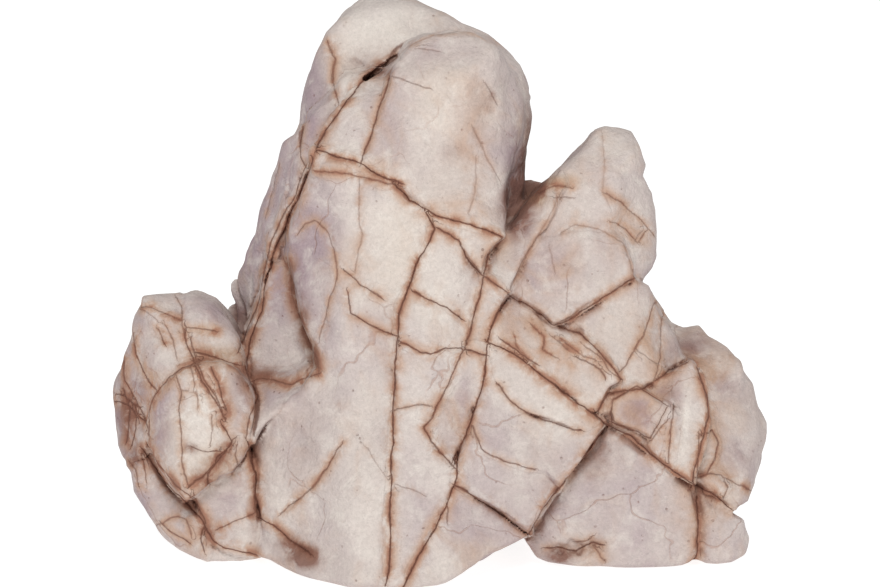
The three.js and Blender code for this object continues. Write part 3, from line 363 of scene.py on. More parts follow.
            (-121.5, 48), (-127, 45), (-134, 52), (-141, 61.5), (-145.5, 72.5), (-147, 82.5)],
        "faces": [(-115, 88, 29, -0.05, 0.12), (-137, 80, 35, -0.7, 0)],
    },
    {
        "name": "shin of the lobe", "back": 100, "round": 4,
        "outline": [(-121.5, 48), (-115, 53.5), (-102.5, 60), (-95.5, 68), (-92, 60), (-91, 40),
            (-90, 27.5), (-92, 16.5), (-98, 16), (-104, 17.5), (-110, 20.5), (-116, 26), (-119.5, 36)],
        "faces": [(-105, 42, 45, -0.1, -0.2)],
    },
    {
        "name": "heel of the lobe", "back": 110, "round": 4,
        "outline": [(-157, 61), (-150, 67), (-146, 71.5), (-141, 61), (-134, 51.5), (-126.5, 44),
            (-119, 35), (-116, 26), (-117.5, 13.5), (-122.5, 15), (-131, 20.5), (-140, 31.5),
            (-147.5, 43), (-153, 50)],
        "faces": [(-133, 42, 58, -0.35, -0.1)],
    },
    {
        "name": "sole of the lobe", "back": 100, "round": 3,
        "outline": [(-119, 27), (-112.5, 22.5), (-105, 18), (-95, 17), (-90, 17), (-95, 13), (-101, 11),
            (-110, 12), (-118, 13.5)],
        "faces": [(-105, 17, 58, 0, 0)],
    },
]

# Back blocks, seen from straight ahead: x, then the height z. A face is a plane through x, z at y.
BACK_BLOCKS = [
    {
        "name": "left root", "front": 100, "round": 8,
        "outline": [(-128, -10), (-134, 16), (-146, 36), (-150, 70), (-140, 94), (-118, 103), (-98, 98),
            (-86, 60), (-83, -10)],
        "faces": [(-115, 45, 152, 0.15, -0.15), (-140, 45, 142, 0.9, -0.1)],
    },
    {
        "name": "left buttress", "front": 105, "round": 8,
        "outline": [(-86, -10), (-90, 50), (-78, 78), (-45, 84), (-22, 70), (-18, 30), (-26, -10)],
        "faces": [(-55, 40, 182, 0.1, -0.12), (-78, 40, 176, 0.8, -0.1)],
    },
    {
        "name": "middle buttress", "front": 110, "round": 9,
        "outline": [(-28, -10), (-20, 35), (-24, 70), (0, 92), (34, 84), (48, 55), (44, 20), (50, -10)],
        "faces": [(8, 40, 196, -0.04, -0.08), (38, 60, 188, -0.8, -0.2)],
    },
    {
        "name": "right buttress", "front": 110, "round": 8,
        "outline": [(48, -10), (42, 24), (48, 60), (66, 80), (96, 74), (108, 48), (103, -10)],
        "faces": [(78, 35, 178, -0.1, -0.15)],
    },
    {
        "name": "right root", "front": 100, "round": 8,
        "outline": [(100, -10), (106, 48), (98, 74), (114, 86), (136, 80), (151, 64), (152, 38),
            (148, 12), (142, -10)],
        "faces": [(122, 45, 152, -0.25, -0.2), (142, 45, 142, -0.9, -0.1)],
    },
    {
        "name": "left cheek", "front": 100, "round": 8,
        "outline": [(-100, 70), (-101, 94), (-92, 116), (-80, 146), (-62, 160), (-46, 148), (-40, 100),
            (-50, 80), (-78, 76)],
        "faces": [(-70, 115, 170, 0.25, -0.1), (-92, 115, 158, 0.9, -0.1)],
    },
    {
        "name": "back plate", "front": 105, "round": 9,
        "outline": [(-44, 80), (-38, 112), (-46, 150), (-20, 176), (10, 168), (26, 142), (38, 112),
            (36, 86), (0, 94)],
        "faces": [(-4, 120, 186, -0.05, -0.12)],
    },
    {
        "name": "right cheek", "front": 100, "round": 8,
        "outline": [(38, 84), (40, 112), (28, 142), (52, 152), (78, 150), (92, 132), (100, 110),
            (112, 88), (96, 76), (66, 82)],
        "faces": [(66, 115, 168, -0.2, -0.15)],
    },
    {
        "name": "back of the rear tower", "front": 90, "round": 9,
        "outline": [(-76, 150), (-74, 190), (-66, 222), (-46, 243), (-15, 249), (14, 241), (33, 224),
            (41, 190), (42, 150), (10, 160), (-20, 168), (-50, 146)],
        "faces": [(-15, 200, 160, -0.1, -0.3), (-60, 200, 150, 0.8, -0.2), (25, 200, 150, -0.7, -0.2)],
    },
    {
        "name": "back of the right tower", "front": 85, "round": 7,
        "outline": [(36, 135), (41, 168), (54, 174), (68, 188), (84, 198), (97, 184), (98, 152),
            (92, 132)],
        "faces": [(68, 160, 138, -0.15, -0.2)],
    },
]

# Cracks and veins on the face: depth, darkness of the core, strength of the rust around it, points x, h.
VEINS = [
    ("twin crack", 2.4, 1, 1, [(-61, 217.5), (-65, 207.5), (-70.5, 195), (-77.5, 180), (-84.5, 166),
        (-89, 152.5), (-91, 137.5), (-94.5, 125), (-96.5, 110)]),
    ("twin crack, outer strand", 1.5, 0.8, 0.7, [(-66.5, 211), (-70, 202.5), (-72.5, 195), (-79.5, 184),
        (-85, 172.5), (-89, 160), (-92, 146.5), (-96.5, 132.5), (-99.5, 120)]),
    ("top of the flank", 1.5, 0.7, 0.6, [(-70, 232.5), (-71, 224), (-70, 216.5), (-66.5, 211)]),
    ("flank scratch", 0.7, 0.4, 0.4, [(-83, 212.5), (-84.5, 200), (-87, 186.5)]),
    ("upper edge of the ledge", 1.8, 1, 0.9, [(-59, 219), (-50, 215), (-38.5, 213), (-30, 207.5),
        (-19, 203)]),
    ("lower edge of the ledge", 0.9, 0.55, 0.7, [(-61, 208.5), (-44, 206.5), (-30, 204.5),
        (-22.5, 202.5)]),
    ("foot of the head", 2, 1, 0.9, [(-22.5, 202.5), (-15, 195), (-7.5, 191), (-1.5, 186.5), (5, 184),
        (17.5, 180.5), (30, 175.5)]),
    ("left side of the head", 1.6, 0.8, 0.6, [(-26, 256), (-30, 242.5), (-35.5, 222.5), (-38, 212.5)]),
    ("head scratch, top", 0.8, 0.5, 0.3, [(-23.5, 256), (-6, 250)]),
    ("head scratch, crown", 0.5, 0.4, 0.2, [(-11, 270), (0, 267.5)]),
    ("head scratch, right", 0.5, 0.4, 0.2, [(21.5, 251.5), (27.5, 242.5)]),
    ("crown of the head", 0.6, 0.3, 0.4, [(-22, 266), (-14, 272), (-0.5, 276.5), (15, 279), (27, 273)]),
    ("head line, right", 0.6, 0.35, 0.3, [(16.5, 230), (22.5, 217.5), (30, 203.5)]),
    ("head line, low", 0.5, 0.3, 0.3, [(19, 215), (18.5, 205), (14, 187.5)]),
    ("behind the head", 2.4, 1, 0.8, [(-62, 215), (-57.5, 228.5), (-47.5, 243.5), (-40, 253.5),
        (-30, 262.5), (-22, 267)]),
    ("notch of the rear tower", 2, 0.5, 0.6, [(-56, 275.5), (-51.5, 266.5), (-53.5, 255),
        (-51.5, 243)]),
    ("body line", 0.5, 0.35, 0.4, [(-39.5, 205), (-40.5, 184), (-39.5, 177.5), (-42, 157.5)]),
    ("body arc", 0.8, 0.5, 0.5, [(-71, 177.5), (-67.5, 182.5), (-62.5, 184), (-56, 177.5), (-51.5, 164),
        (-51, 157.5), (-52, 150), (-56, 136), (-59.5, 125)]),
    ("body, upper branch", 1, 0.7, 0.6, [(-47.5, 159), (-39, 152.5), (-28, 147)]),
    ("body, lower branch", 1.2, 0.8, 0.6, [(-45, 148.5), (-43, 138), (-32.5, 132.5), (-21.5, 127.5)]),
    ("across the long slab", 1.4, 0.9, 0.7, [(-21.5, 126), (-10, 120), (-5, 119.5), (2.5, 121),
        (11, 120.5), (22.5, 117)]),
    ("up across the long slab", 1.6, 0.9, 0.7, [(-12.5, 150), (3.5, 141.5), (11.5, 135)]),
    ("long crack", 2, 1, 0.8, [(-9, 192), (-3.5, 181), (-11, 165), (-15, 152.5), (-19.5, 137.5),
        (-21.5, 126), (-23, 110), (-23.5, 100), (-22.5, 75), (-24, 57.5), (-25.5, 40), (-25, 22.5),
        (-24.5, 15), (-27, 1.5)]),
    ("hooked crack", 1.6, 0.9, 0.8, [(-1.5, 180.5), (8.5, 173.5), (14, 163.5), (20, 157.5)]),
    ("right of the long slab", 1.5, 0.8, 0.7, [(30, 175), (23.5, 166.5), (21, 155), (20, 145),
        (15.5, 131), (11.5, 120), (5, 107.5), (-1, 95), (-4, 86.5), (-8, 83), (-1.5, 73.5),
        (8.5, 61.5)]),
    ("curved crack to the toe", 2, 1, 0.8, [(35, 147.5), (28.5, 136), (24.5, 129), (22.5, 116),
        (19.5, 100), (14.5, 82.5), (10, 69), (8, 56.5), (2.5, 43.5), (-5, 31), (-12.5, 15), (-18, 4)]),
    ("toe branch", 0.8, 0.6, 0.4, [(3.5, 46.5), (3, 36)]),
    ("wedge branch", 0.8, 0.6, 0.5, [(11.5, 72.5), (6.5, 64)]),
    ("top of the toe", 1.6, 0.9, 0.6, [(6.5, 54), (19, 46), (30, 38), (43, 30)]),
    ("between the lower plates", 1, 0.7, 0.4, [(16.5, 82.5), (21.5, 70.5), (32.5, 64.5), (47.5, 62)]),
    ("between the upper plates", 1.4, 0.8, 0.5, [(27.5, 102.5), (35, 94), (47.5, 87.5), (60, 84),
        (70, 81)]),
    ("main diagonal", 2.2, 1, 1, [(23.5, 123.5), (40, 116.5), (50, 107.5), (62.5, 99), (71, 92.5),
        (82.5, 82.5), (95, 76.5), (110, 65), (127.5, 53.5), (140, 46), (146.5, 40)]),
    ("main diagonal, upper strand", 1.2, 0.8, 0.7, [(30, 125), (47.5, 114)]),
    ("body groove", 1.6, 0.6, 0.6, [(-47.5, 73.5), (-55, 62.5), (-62.5, 51.5), (-74, 42.5),
        (-79, 37.5)]),
    ("body scratch", 0.4, 0.3, 0.3, [(-35, 72.5), (-26, 57.5)]),
    ("left foot", 1.6, 0.9, 0.8, [(-90, 35), (-82.5, 31.5), (-74, 23.5), (-65, 18.5)]),
    ("body against the lobe", 2, 1, 1, [(-95.5, 75), (-91.5, 56), (-91, 45), (-90, 35)]),
    ("slab nick", 0.8, 0.6, 0.4, [(-22.5, 91.5), (-10, 94.5), (-5, 93.5)]),
    ("slab nick, low", 0.5, 0.4, 0.3, [(-21.5, 55), (-8.5, 50)]),
    ("foot of the right tower", 1.6, 0.8, 0.8, [(21, 156.5), (35, 147.5), (46.5, 141.5), (56.5, 133),
        (65, 136), (82.5, 146), (96, 155)]),
    ("right tower, upper edge", 0.6, 0.35, 0.4, [(96, 155), (90.5, 172.5), (79, 180), (66, 182),
        (60, 179)]),
    ("tower scratch", 0.5, 0.5, 0.2, [(57.5, 197), (66.5, 195.5)]),
    ("tower crease", 0.4, 0.3, 0.2, [(53.5, 172.5), (56.5, 160)]),
    ("tower nick", 0.4, 0.4, 0.2, [(97.5, 176), (101, 180)]),
    ("ridge of the tower", 0.4, 0.2, 0.3, [(80, 228), (82.5, 210), (82, 198), (85, 190)]),
    ("chip of the tower, top", 0.8, 0.5, 0.6, [(83, 198), (92, 191.5), (101, 186), (107, 178)]),
    ("chip of the tower, low", 0.7, 0.5, 0.7, [(85, 183), (93, 180), (98, 174), (103, 180)]),
    ("edge of the tower's bevel", 0.8, 0.3, 0.5, [(61, 199), (50, 181), (41, 165), (35, 150)]),
    ("top of the tower's bevel", 0.6, 0.5, 0.8, [(50, 199), (58, 203), (66, 201)]),
    ("below the tower", 0.8, 0.4, 0.7, [(37, 127), (38, 122), (46, 114)]),
    ("white band, upper scratch", 0.6, 0.5, 0.6, [(56, 128), (62, 123), (66, 119)]),
    ("white band, hook", 0.6, 0.5, 0.7, [(46, 133), (52, 127), (51, 121), (57, 117)]),
    ("white band, middle scratch", 0.5, 0.5, 0.8, [(60, 127), (66, 122), (71, 117), (77, 115)]),
    ("white band, lower scratch", 0.7, 0.5, 0.6, [(72, 122), (80, 116), (83, 109), (88, 106)]),
    ("valley under the tower", 1.6, 0.8, 0.7, [(60, 132.5), (70, 129), (78.5, 120), (86, 109),
        (89, 105)]),
    ("valley branch", 1, 0.7, 0.5, [(67.5, 117.5), (78.5, 110), (81, 106)]),
    ("shoulder crack", 1, 0.6, 0.6, [(107.5, 145), (102.5, 127.5), (94, 115), (89, 109)]),
    ("shoulder line", 0.8, 0.5, 0.5, [(111.5, 137.5), (110, 117.5), (105, 102.5)]),
    ("shoulder nick", 0.5, 0.4, 0.3, [(97.5, 119), (107.5, 114)]),
    ("over the small blocks", 1.4, 0.8, 0.8, [(123, 115), (110, 107.5), (100, 100), (82.5, 98.5),
        (77.5, 89)]),
    ("behind the small blocks", 1.8, 0.9, 0.9, [(128.5, 112.5), (132, 97.5), (133, 87.5), (129, 70),
        (126, 52.5)]),
    ("between the small blocks", 0.9, 0.6, 0.6, [(115, 92.5), (114, 65)]),
    ("small block nick", 0.8, 0.6, 0.6, [(105, 75), (112.5, 86)]),
    ("far right hook", 0.8, 0.6, 0.6, [(141, 57), (144.5, 51), (143, 46)]),
    ("foot block against the nub", 2, 1, 0.9, [(129.5, 46.5), (129, 35), (128.5, 20), (126, 14)]),
    ("left edge of the foot block", 2, 1, 0.9, [(82, 81.5), (72.5, 67.5), (60, 53.5), (51, 42.5),
        (43.5, 30)]),
    ("deep crack of the lobe", 2, 1, 1, [(-151, 70), (-145, 64), (-136, 53.5), (-127.5, 45), (-119, 35),
        (-114, 25), (-109, 21.5), (-93, 16.5)]),
    ("deep crack of the lobe, second strand", 1, 0.8, 1, [(-147, 72), (-140, 63), (-131, 53),
        (-122, 46),
        (-117.5, 34)]),
    ("edge of the lobe's top", 1, 0.8, 0.8, [(-153.5, 128), (-152, 117.5), (-147.5, 106), (-143, 100)]),
    ("outer edge of the lobe", 1, 0.8, 0.8, [(-158.5, 115), (-158, 104), (-155, 97.5), (-151, 89),
        (-147, 80)]),
    ("lobe's top, rusty line", 0.6, 0.5, 0.8, [(-150.5, 141), (-145, 141.5), (-138, 139), (-130, 136)]),
    ("lobe's top, grey line", 0.4, 0.4, 0.3, [(-151, 140), (-146, 138), (-141, 134.5)]),
    ("lobe's top, rusty streak", 0.9, 0.6, 1, [(-127, 132), (-119.5, 131), (-112, 130)]),
    ("lobe's top, groove", 0.8, 0.5, 0.4, [(-133, 147), (-130, 142), (-129, 134), (-127, 128)]),
    ("lobe's top, short streak", 0.9, 0.6, 0.9, [(-140.5, 130.5), (-139, 127), (-137, 123)]),
    ("lobe's top, beside the streak", 0.4, 0.5, 0.5, [(-137, 133), (-133, 125), (-131, 117)]),
    ("oval, long double line", 0.8, 0.8, 0.8, [(-127.5, 134), (-127, 127.5), (-124.5, 121),
        (-122.5, 116),
        (-119.5, 107.5), (-115, 99), (-110.5, 92.5), (-107.5, 87)]),
    ("oval, second of the double line", 0.6, 0.7, 0.7, [(-124, 127), (-121.5, 117), (-117.5, 106),
        (-112.5, 98), (-107, 86)]),
    ("oval, beaded line", 0.7, 0.8, 1, [(-114, 111.5), (-110.5, 105), (-109.5, 97.5), (-106.5, 89)]),
    ("oval, red line", 0.5, 0.5, 0.5, [(-124, 112.5), (-122, 102.5), (-121, 92.5)]),
    ("oval, left line", 0.7, 0.6, 0.5, [(-131, 106), (-129.5, 98.5), (-131, 90), (-128.5, 80),
        (-127.5, 65),
        (-124.5, 53.5)]),
    ("oval, across", 0.3, 0.4, 0.4, [(-129, 100), (-119.5, 99.5)]),
    ("oval, low line", 0.4, 0.5, 0.5, [(-114, 88), (-112.5, 82), (-114, 74)]),
    ("oval, dark spot's tail", 0.6, 0.7, 0.6, [(-123, 72.5), (-117, 70.5), (-110, 71)]),
    ("rough band, upper strand", 0.7, 0.9, 1, [(-109, 84), (-105.5, 80), (-102.5, 75), (-106, 71),
        (-110.5, 67.5),
        (-111, 63.5), (-114, 60), (-114.5, 54)]),
    ("rough band, main strand", 1.2, 0.8, 1, [(-101.5, 77), (-108, 68), (-113, 62), (-118, 57),
        (-124, 52.5)]),
    ("rough band, loop", 0.5, 0.6, 0.5, [(-100, 74), (-101.5, 68.5), (-99.5, 63.5), (-103, 59)]),
    ("shin, left edge", 1.2, 0.7, 0.8, [(-122, 49), (-120.5, 40), (-117.5, 32.5)]),
    ("shin, red line", 0.9, 0.6, 0.8, [(-111, 31), (-102.5, 34.5), (-93.5, 37)]),
    ("over the oval", 1, 0.8, 1, [(-120, 119), (-110, 116.5), (-100, 113)]),
    ("edge network, upper", 0.7, 0.9, 0.9, [(-162, 97), (-158, 95.5), (-155, 92), (-151.5, 91)]),
    ("edge network, second", 0.7, 0.9, 0.9, [(-162.5, 93), (-158, 92), (-154, 87), (-149, 84)]),
    ("edge network, third", 0.6, 0.8, 0.8, [(-159, 99), (-157, 90), (-158, 80), (-160, 73)]),
    ("edge network, fourth", 0.6, 0.8, 0.8, [(-155, 96), (-153.5, 88), (-154, 79), (-157, 71)]),
    ("heel, first line", 0.7, 0.6, 0.8, [(-151, 67), (-148, 58.5), (-147, 53)]),
    ("heel, second line", 0.6, 0.6, 0.6, [(-157, 63), (-153, 59), (-151.5, 52)]),
    ("heel, loop", 0.5, 0.5, 0.5, [(-145, 32), (-138.5, 34), (-134.5, 36.5), (-130, 37.5), (-126, 35),
        (-124.5, 27)]),
    ("heel, rough line", 0.6, 0.7, 0.6, [(-139, 34), (-133.5, 28.5), (-126, 23.5)]),
    ("heel, low line", 0.9, 0.8, 0.7, [(-118.5, 31), (-120, 25), (-119, 19)]),
    ("lobe against the slope", 1, 0.7, 0.8, [(-97, 112), (-95, 103), (-92, 96), (-95, 88), (-96, 77)]),
    ("pit of the foot block, ledge", 0.8, 0.9, 0.5, [(53, 21.2), (57.5, 21.2), (63, 20), (67.5, 19.2),
        (70, 20.5),
        (72.5, 22.2), (75.5, 23.5), (80, 22)]),
    ("pit of the foot block, upper", 0.4, 0.6, 0.5, [(67.5, 23.7), (71, 24.5), (73.5, 25), (75, 26.5)]),
    ("pit of the foot block, curve", 0.4, 0.5, 0.5, [(76, 21.5), (78.5, 18.5), (81, 14)]),
    ("edge of the hollow", 1.2, 0.4, 1, [(-77, 164), (-75, 147), (-67.5, 131), (-61.5, 116),
        (-61, 108)]),
    ("foot of the hollow", 1, 0.6, 1, [(-61, 108), (-75, 102.5), (-88, 105), (-95, 103)]),
    ("around the oval", 1.8, 0.7, 0.9, [(-146, 76), (-147, 88), (-143, 97), (-136, 106), (-128, 112),
        (-118, 116)]),
    ("square block, top", 0.9, 0.7, 0.6, [(85, 95), (97, 101.5), (111.5, 93.5)]),
    ("square block, foot", 1, 0.8, 0.7, [(111.5, 92), (105, 76), (94, 80), (85, 84)]),
    ("square block, side", 0.7, 0.6, 0.6, [(85, 84), (83.5, 89), (85, 95)]),
    ("oval pebble, left", 0.6, 0.7, 0.6, [(129, 79), (128.5, 68), (129.5, 58)]),
    ("oval pebble, right", 0.6, 0.7, 0.6, [(129.5, 79), (135, 80), (139, 73), (138, 65), (134, 59)]),
    ("below the oval pebble", 0.5, 0.6, 0.7, [(128, 57), (135, 58.5), (141, 57), (150, 52), (156, 49)]),
]

# Dents of the face: middle x, h, half width, half height, depth
DENTS = (
    ("pit of the foot block", 68, 21, 15, 5, 4),
    ("deep end of that pit", 60, 19, 6, 3.5, 1.5),
    ("trough of the foot block", 78, 52, 9, 30, 1.8),
    ("hollow of the left foot", -70, 21, 7, 4, 1.8),
    ("notch of the lobe", -122.5, 72, 3.2, 2.8, 1.4),
    ("notch of the lobe's edge", -157, 69, 3.5, 5, 2),
    ("rough zone of the lobe", -108, 64, 9, 12, 2),
    ("scoop of the head", 20, 240, 8, 24, 1.4),
    ("scoop of the right tower", 62, 168, 10, 10, 1.8),
    ("scoop of the body", -70, 70, 12, 14, 1.6),
    ("scoop of the slab", -12, 150, 6, 16, 1),
    ("scoop of the rear tower", -42, 262, 9, 11, 1.8),
    ("scoop of the far right block", 143, 92, 9, 14, 1.6),
    ("scoop of the lobe's top", -138, 128, 8, 9, 1.6),
    ("groove of the lobe's top", -130.5, 142, 3, 12, 2),
)

# Open gaps between blocks: half width, depth t at which they close, points x, h
GAPS = (
    ("behind the cap", 0.7, 42, [(-64, 221), (-60, 231), (-53, 243)]),
    ("behind the head", 1.8, 58, [(-36.5, 256), (-29, 260.5)]),
    ("behind the head, narrow end", 1, 58, [(-30, 260), (-21, 266.5)]),
)
GAP_SLOPE = 0.35
GAP_REACH = 14

# Colours of the rock, as linear light
CREAM = (0.58, 0.51, 0.47, 1)
PALE = (0.71, 0.655, 0.60, 1)
PEACH = (0.47, 0.32, 0.24, 1)
LILAC = (0.37, 0.285, 0.305, 1)
OCHRE = (0.50, 0.34, 0.18, 1)
STAIN = (0.47, 0.30, 0.21, 1)
RUST = (0.33, 0.15, 0.092, 1)
# Earth-brown of the pits, also used as painted shade in hollows and recesses
EARTH_AND_SHADE = (0.19, 0.082, 0.056, 1)
DARK = (0.135, 0.048, 0.031, 1)
RUST_SPREAD = 3.4

# The drawn cracks and seams: how far their offsets are kept, and where their dark cores end
LINE_REACH = 6
CRACK_CORE = (1.5, 2.6)
SEAM_CORE = (1.6, 4)
SEAM_DARKNESS = 0.6
SEAM_HIDDEN_ON_FACE = 0.8
SEAM_RUST = 0.65
SEAM_RUST_LOST_ON_FACE = 0.45
RING_SHOWN = 0.3
FACE_EDGE = (-0.05, 0.25)

# Painted shade: lilac on what faces left, right and down, away from the light
LILAC_SHADE_LEFT = 0.4
LILAC_SHADE_RIGHT = 0.3
LILAC_SHADE_UNDER = 0.3

# Patches of colour on the face: middle x, h, half width, half height, strength
PATCHES = {
    # Lilac: partly the stone's tint, partly painted shade, as on the left flank and the dimmer sides
    "lilac": (
        (-88, 180, 18, 50, 0.8), (-64, 252, 8, 28, 0.5), (-27, 227, 12, 26, 0.45),
        (0, 268, 25, 8, 0.4), (-75, 155, 14, 25, 0.5), (-84, 97, 16, 12, 0.6),
        (-57, 165, 12, 35, 0.2), (-158, 95, 8, 35, 0.4), (-12, 45, 10, 36, 0.55),
        (12, 86, 11, 16, 0.5), (82, 45, 40, 30, 0.3), (60, 165, 20, 18, 0.25),
        (45, 165, 16, 25, 0.25), (85, 212, 15, 20, 0.25), (97, 88, 9, 8, 1.3),
        (20, 30, 20, 14, 0.25), (113, 100, 6, 9, 1), (129, 120, 10, 7, 0.6), (143, 102, 7, 7, 0.5),
        (148, 66, 9, 8, 0.4), (-106, 45, 11, 20, 0.5), (-140, 85, 6, 18, 0.9),
        (-120, 140, 22, 10, 0.3), (38, 212, 5, 16, 0.8),
    ),
    "peach": (
        (15, 225, 18, 35, 0.35), (12, 188, 20, 8, 0.6), (-38, 210, 26, 6, 0.7),
        (-42, 262, 14, 14, 0.4), (92, 105, 32, 22, 0.6), (40, 128, 16, 12, 0.8),
        (140, 88, 16, 40, 0.8), (-106, 66, 14, 22, 0.5), (-108, 118, 12, 6, 0.6),
        (-145, 106, 7, 9, 0.9), (-72, 58, 20, 36, 0.3), (100, 130, 10, 16, 0.5),
        (124, 38, 8, 22, 0.7), (98, 88, 10, 9, 0.3), (12, 86, 11, 16, 0.5), (92, 185, 9, 7, 0.9),
        (-45, 150, 14, 20, 0.3), (60, 60, 10, 12, 0.3), (30, 20, 20, 10, 0.3),
        (100, 178, 5, 4, 0.7), (134, 106, 8, 9, 0.6), (44, 222, 5, 20, 0.8), (55, 120, 14, 8, 0.4),
        (72, 18, 12, 6, 0.8), (-80, 75, 12, 16, 0.25), (70, 118, 11, 6, 0.8),
        (60, 152, 8, 10, 0.5), (66, 168, 20, 16, 0.4),
    ),
    # Pale: partly the stone's tint, partly painted highlight on the tops and on faces tilted from the
    # light
    "pale": (
        (-30, 282, 20, 14, 0.8), (-46, 262, 5, 16, 0.5), (-5, 235, 14, 22, 0.45),
        (-22, 178, 16, 26, 0.5), (4, 150, 10, 24, 0.5), (-118, 94, 10, 18, 1),
        (-129, 80, 7, 14, 0.5), (-10, 108, 10, 30, 0.4), (85, 40, 22, 18, 0.4),
        (92, 138, 12, 12, 0.3), (-45, 110, 14, 40, 0.25), (50, 92, 22, 12, 0.45),
        (62, 150, 12, 8, 0.3), (-52, 40, 14, 26, 0.3), (84, 222, 12, 8, 0.4),
        (-137, 31, 5, 7, 0.5), (-98, 25, 4, 7, 0.6), (147, 86, 8, 8, 0.25), (-72, 48, 13, 20, 0.4),
        (-122, 62, 7, 7, 0.6), (122, 88, 2.5, 18, 0.9), (-110, 125, 8, 4, 0.4),
    ),
    # Brown: partly brown stone, partly painted shade in recesses, as beside the head and in the left
    # foot's hollow
    "brown": (
        (46, 200, 9, 6, 1.8), (38, 190, 6, 12, 1.8), (-30, 260, 7, 4, 0.8), (-68, 17, 8, 5, 1.6),
        (-76, 23, 6, 4, 0.8), (59, 18, 7, 4, 1), (59, 15.5, 4, 2, 1), (76, 22, 6, 4, 0.4),
        (-157, 85, 6, 14, 0.9), (-123, 72, 3, 2.5, 1.4), (-103, 74, 4, 5, 0.8),
        (-109, 67, 5, 5, 0.8), (-116, 59, 5, 5, 0.8), (-98, 108, 6, 18, 0.4),
        (-74, 152, 4, 13, 0.8), (-68, 134, 4, 10, 0.8), (-63, 118, 4, 8, 0.7),
        (-86, 107, 11, 4, 0.7), (44, 225, 4, 22, 0.6), (41, 212, 4, 10, 0.6),
        (-154, 65, 4, 5, 0.9), (-108, 118, 9, 3, 0.3), (-115, 28, 5, 6, 0.5),
        (-142, 61, 4, 4, 0.5), (-134, 51, 4, 4, 0.5), (-125, 42, 4, 4, 0.5), (-93, 40, 2, 18, 0.4),
        (126, 120, 9, 7, 0.55), (143, 101, 6, 7, 0.3), (148, 66, 8, 8, 0.25), (152, 92, 6, 6, 0.2),
        (-55, 240, 3, 9, 0.5), (98, 88, 9, 7, 0.25), (113, 98, 5, 8, 0.35), (-150, 104, 3, 6, 0.5),
        (-108, 93, 4, 9, 0.3), (46, 31, 4, 5, 0.8),
    ),
    "ochre": (
        (48, 197, 6, 4, 0.9), (60, 204, 9, 4, 0.6), (30, 172, 8, 10, 0.25),
        (-108, 118, 11, 4, 0.6), (-112, 64, 10, 12, 0.4), (-119, 131, 9, 3, 0.4),
        (-5, 250, 14, 16, 0.15), (-20, 170, 12, 30, 0.15),
    ),
}

# Noises of the skin: forms to the metre, detail, roughness and distortion
NOISES = {
    "patches": (16, 3, 0.5, 0.6),
    "beds": (34, 3, 0.6, 0.8),
    "mottle": (90, 4, 0.62, 0.4),
    "bends": (190, 2, 0.5, 0.0),
    "speckle": (520, 3, 0.65, 0.0),
    "grain": (1500, 2, 0.6, 0.0),
}

# Blotches that a noise adds to a tint: where they start, where they are full and how strong they are
BLOTCHES = {"lilac": (0.45, 0.7, 0.4), "peach": (0.5, 0.72, 0.45), "pale": (0.5, 0.3, 0.35)}
BED_BLOTCHES = (0.3, 0.62)
# Painted highlight, partly edge wear: how much paler the ridges are
RIDGE_HIGHLIGHT_AND_WEAR = 0.5
PALENESS = 0.8

# Tints of the rust: where each starts, where it is full, how strong it is and its colour
RUST_TINTS = ((0.08, 0.55, 0.75, STAIN), (0.42, 0.85, 0.8, RUST))
RUST_RAGGED = (0.36, 0.62)
# Strength of the brown patches, which are partly painted shade in the recesses
BROWN_AND_SHADE_STRENGTH = 0.85
# Painted shade: earth-brown darkening of the hollows, where it starts, where it is full and its strength
HOLLOW_SHADE_START = 0.3
HOLLOW_SHADE_FULL = 0.85
HOLLOW_SHADE_STRENGTH = 0.65

# Hair-thin closed cracks: cells to the metre, how they bend, their widths and where they show
HAIRLINE_SIZE = 20
HAIRLINE_WAVES = 1.5
HAIRLINE_BEND = 0.6
HAIRLINE_WIDTHS = (0.00045, 0.0001)
HAIRLINE_PATCHES = (0.5, 0.62)
HAIRLINE_STRENGTH = 0.35

# Noises turned into strengths: a factor and an offset
UNEVEN = (1.6, 0.2)
RAGGED = (0.85, 0.5)
CORE_WIDTH = (1.1, 0.05)
FLECKS = (0.4, 0.8)
ROUGHNESS = (0.16, 0.8)

# Fine looks of the skin
CORE_WOBBLE = 1.8
PIT_SCALE = 230.0
PIT_EDGE = (0.2, 0.1)
PIT_PATCHES = (0.52, 0.64)
PIT_STRENGTH = 0.45
GRAIN_CONTRAST = 0.16
GRAIN_HEIGHT = 0.35
PIT_HEIGHT = 0.9
CORE_HEIGHT = 1.5
HAIRLINE_HEIGHT = 0.6
BUMP_STRENGTH = 0.6
FINE_BUMP = 0.0009
ROLLING_BUMP = 0.0035
SKIN_SHINE = 0.25

# The camera stands level with the dip of the joints, far enough off for a long lens
CAMERA_LENS = 200
SENSOR_WIDTH = 36
PHOTO_WIDTH_MM = 440
VIEW_CENTRE = (0, 148.25, 45)
WORLD_STRENGTH = 0.55
KEY_PLACE = (0.02, -1.7, 1.45)
KEY_SIZE = 0.6
KEY_POWER = 22
KEY_TINT = (1, 0.985, 0.97)
LIGHT_TARGET = (0, 0, 0.12)
WHITE = (1, 1, 1, 1)
FLOOR_HALF = 12.0
FLOOR_COLOUR = (0.4, 0.4, 0.4, 1)
FLOOR_GLOW = 0.85

# Weathered grooves that circle the sides and the back: their place and their lean
DEPTH_JOINTS = ((84, 0.12), (118, -0.08), (150, 0.1))
LEVEL_JOINTS = ((62, 0.1), (128, -0.12), (196, 0.08))
JOINT_DEPTH = 2.6
JOINT_WIDTH = 3.2
JOINTS_START = 62
LEVELS_START = 112
JOINTS_FADE = 20
JOINT_BEND = 5
JOINT_RIPPLE = 3


def smooth_step(start, end, value):
    share = np.clip((value - start) / (end - start), 0, 1)
    return share * share * (3 - 2 * share)


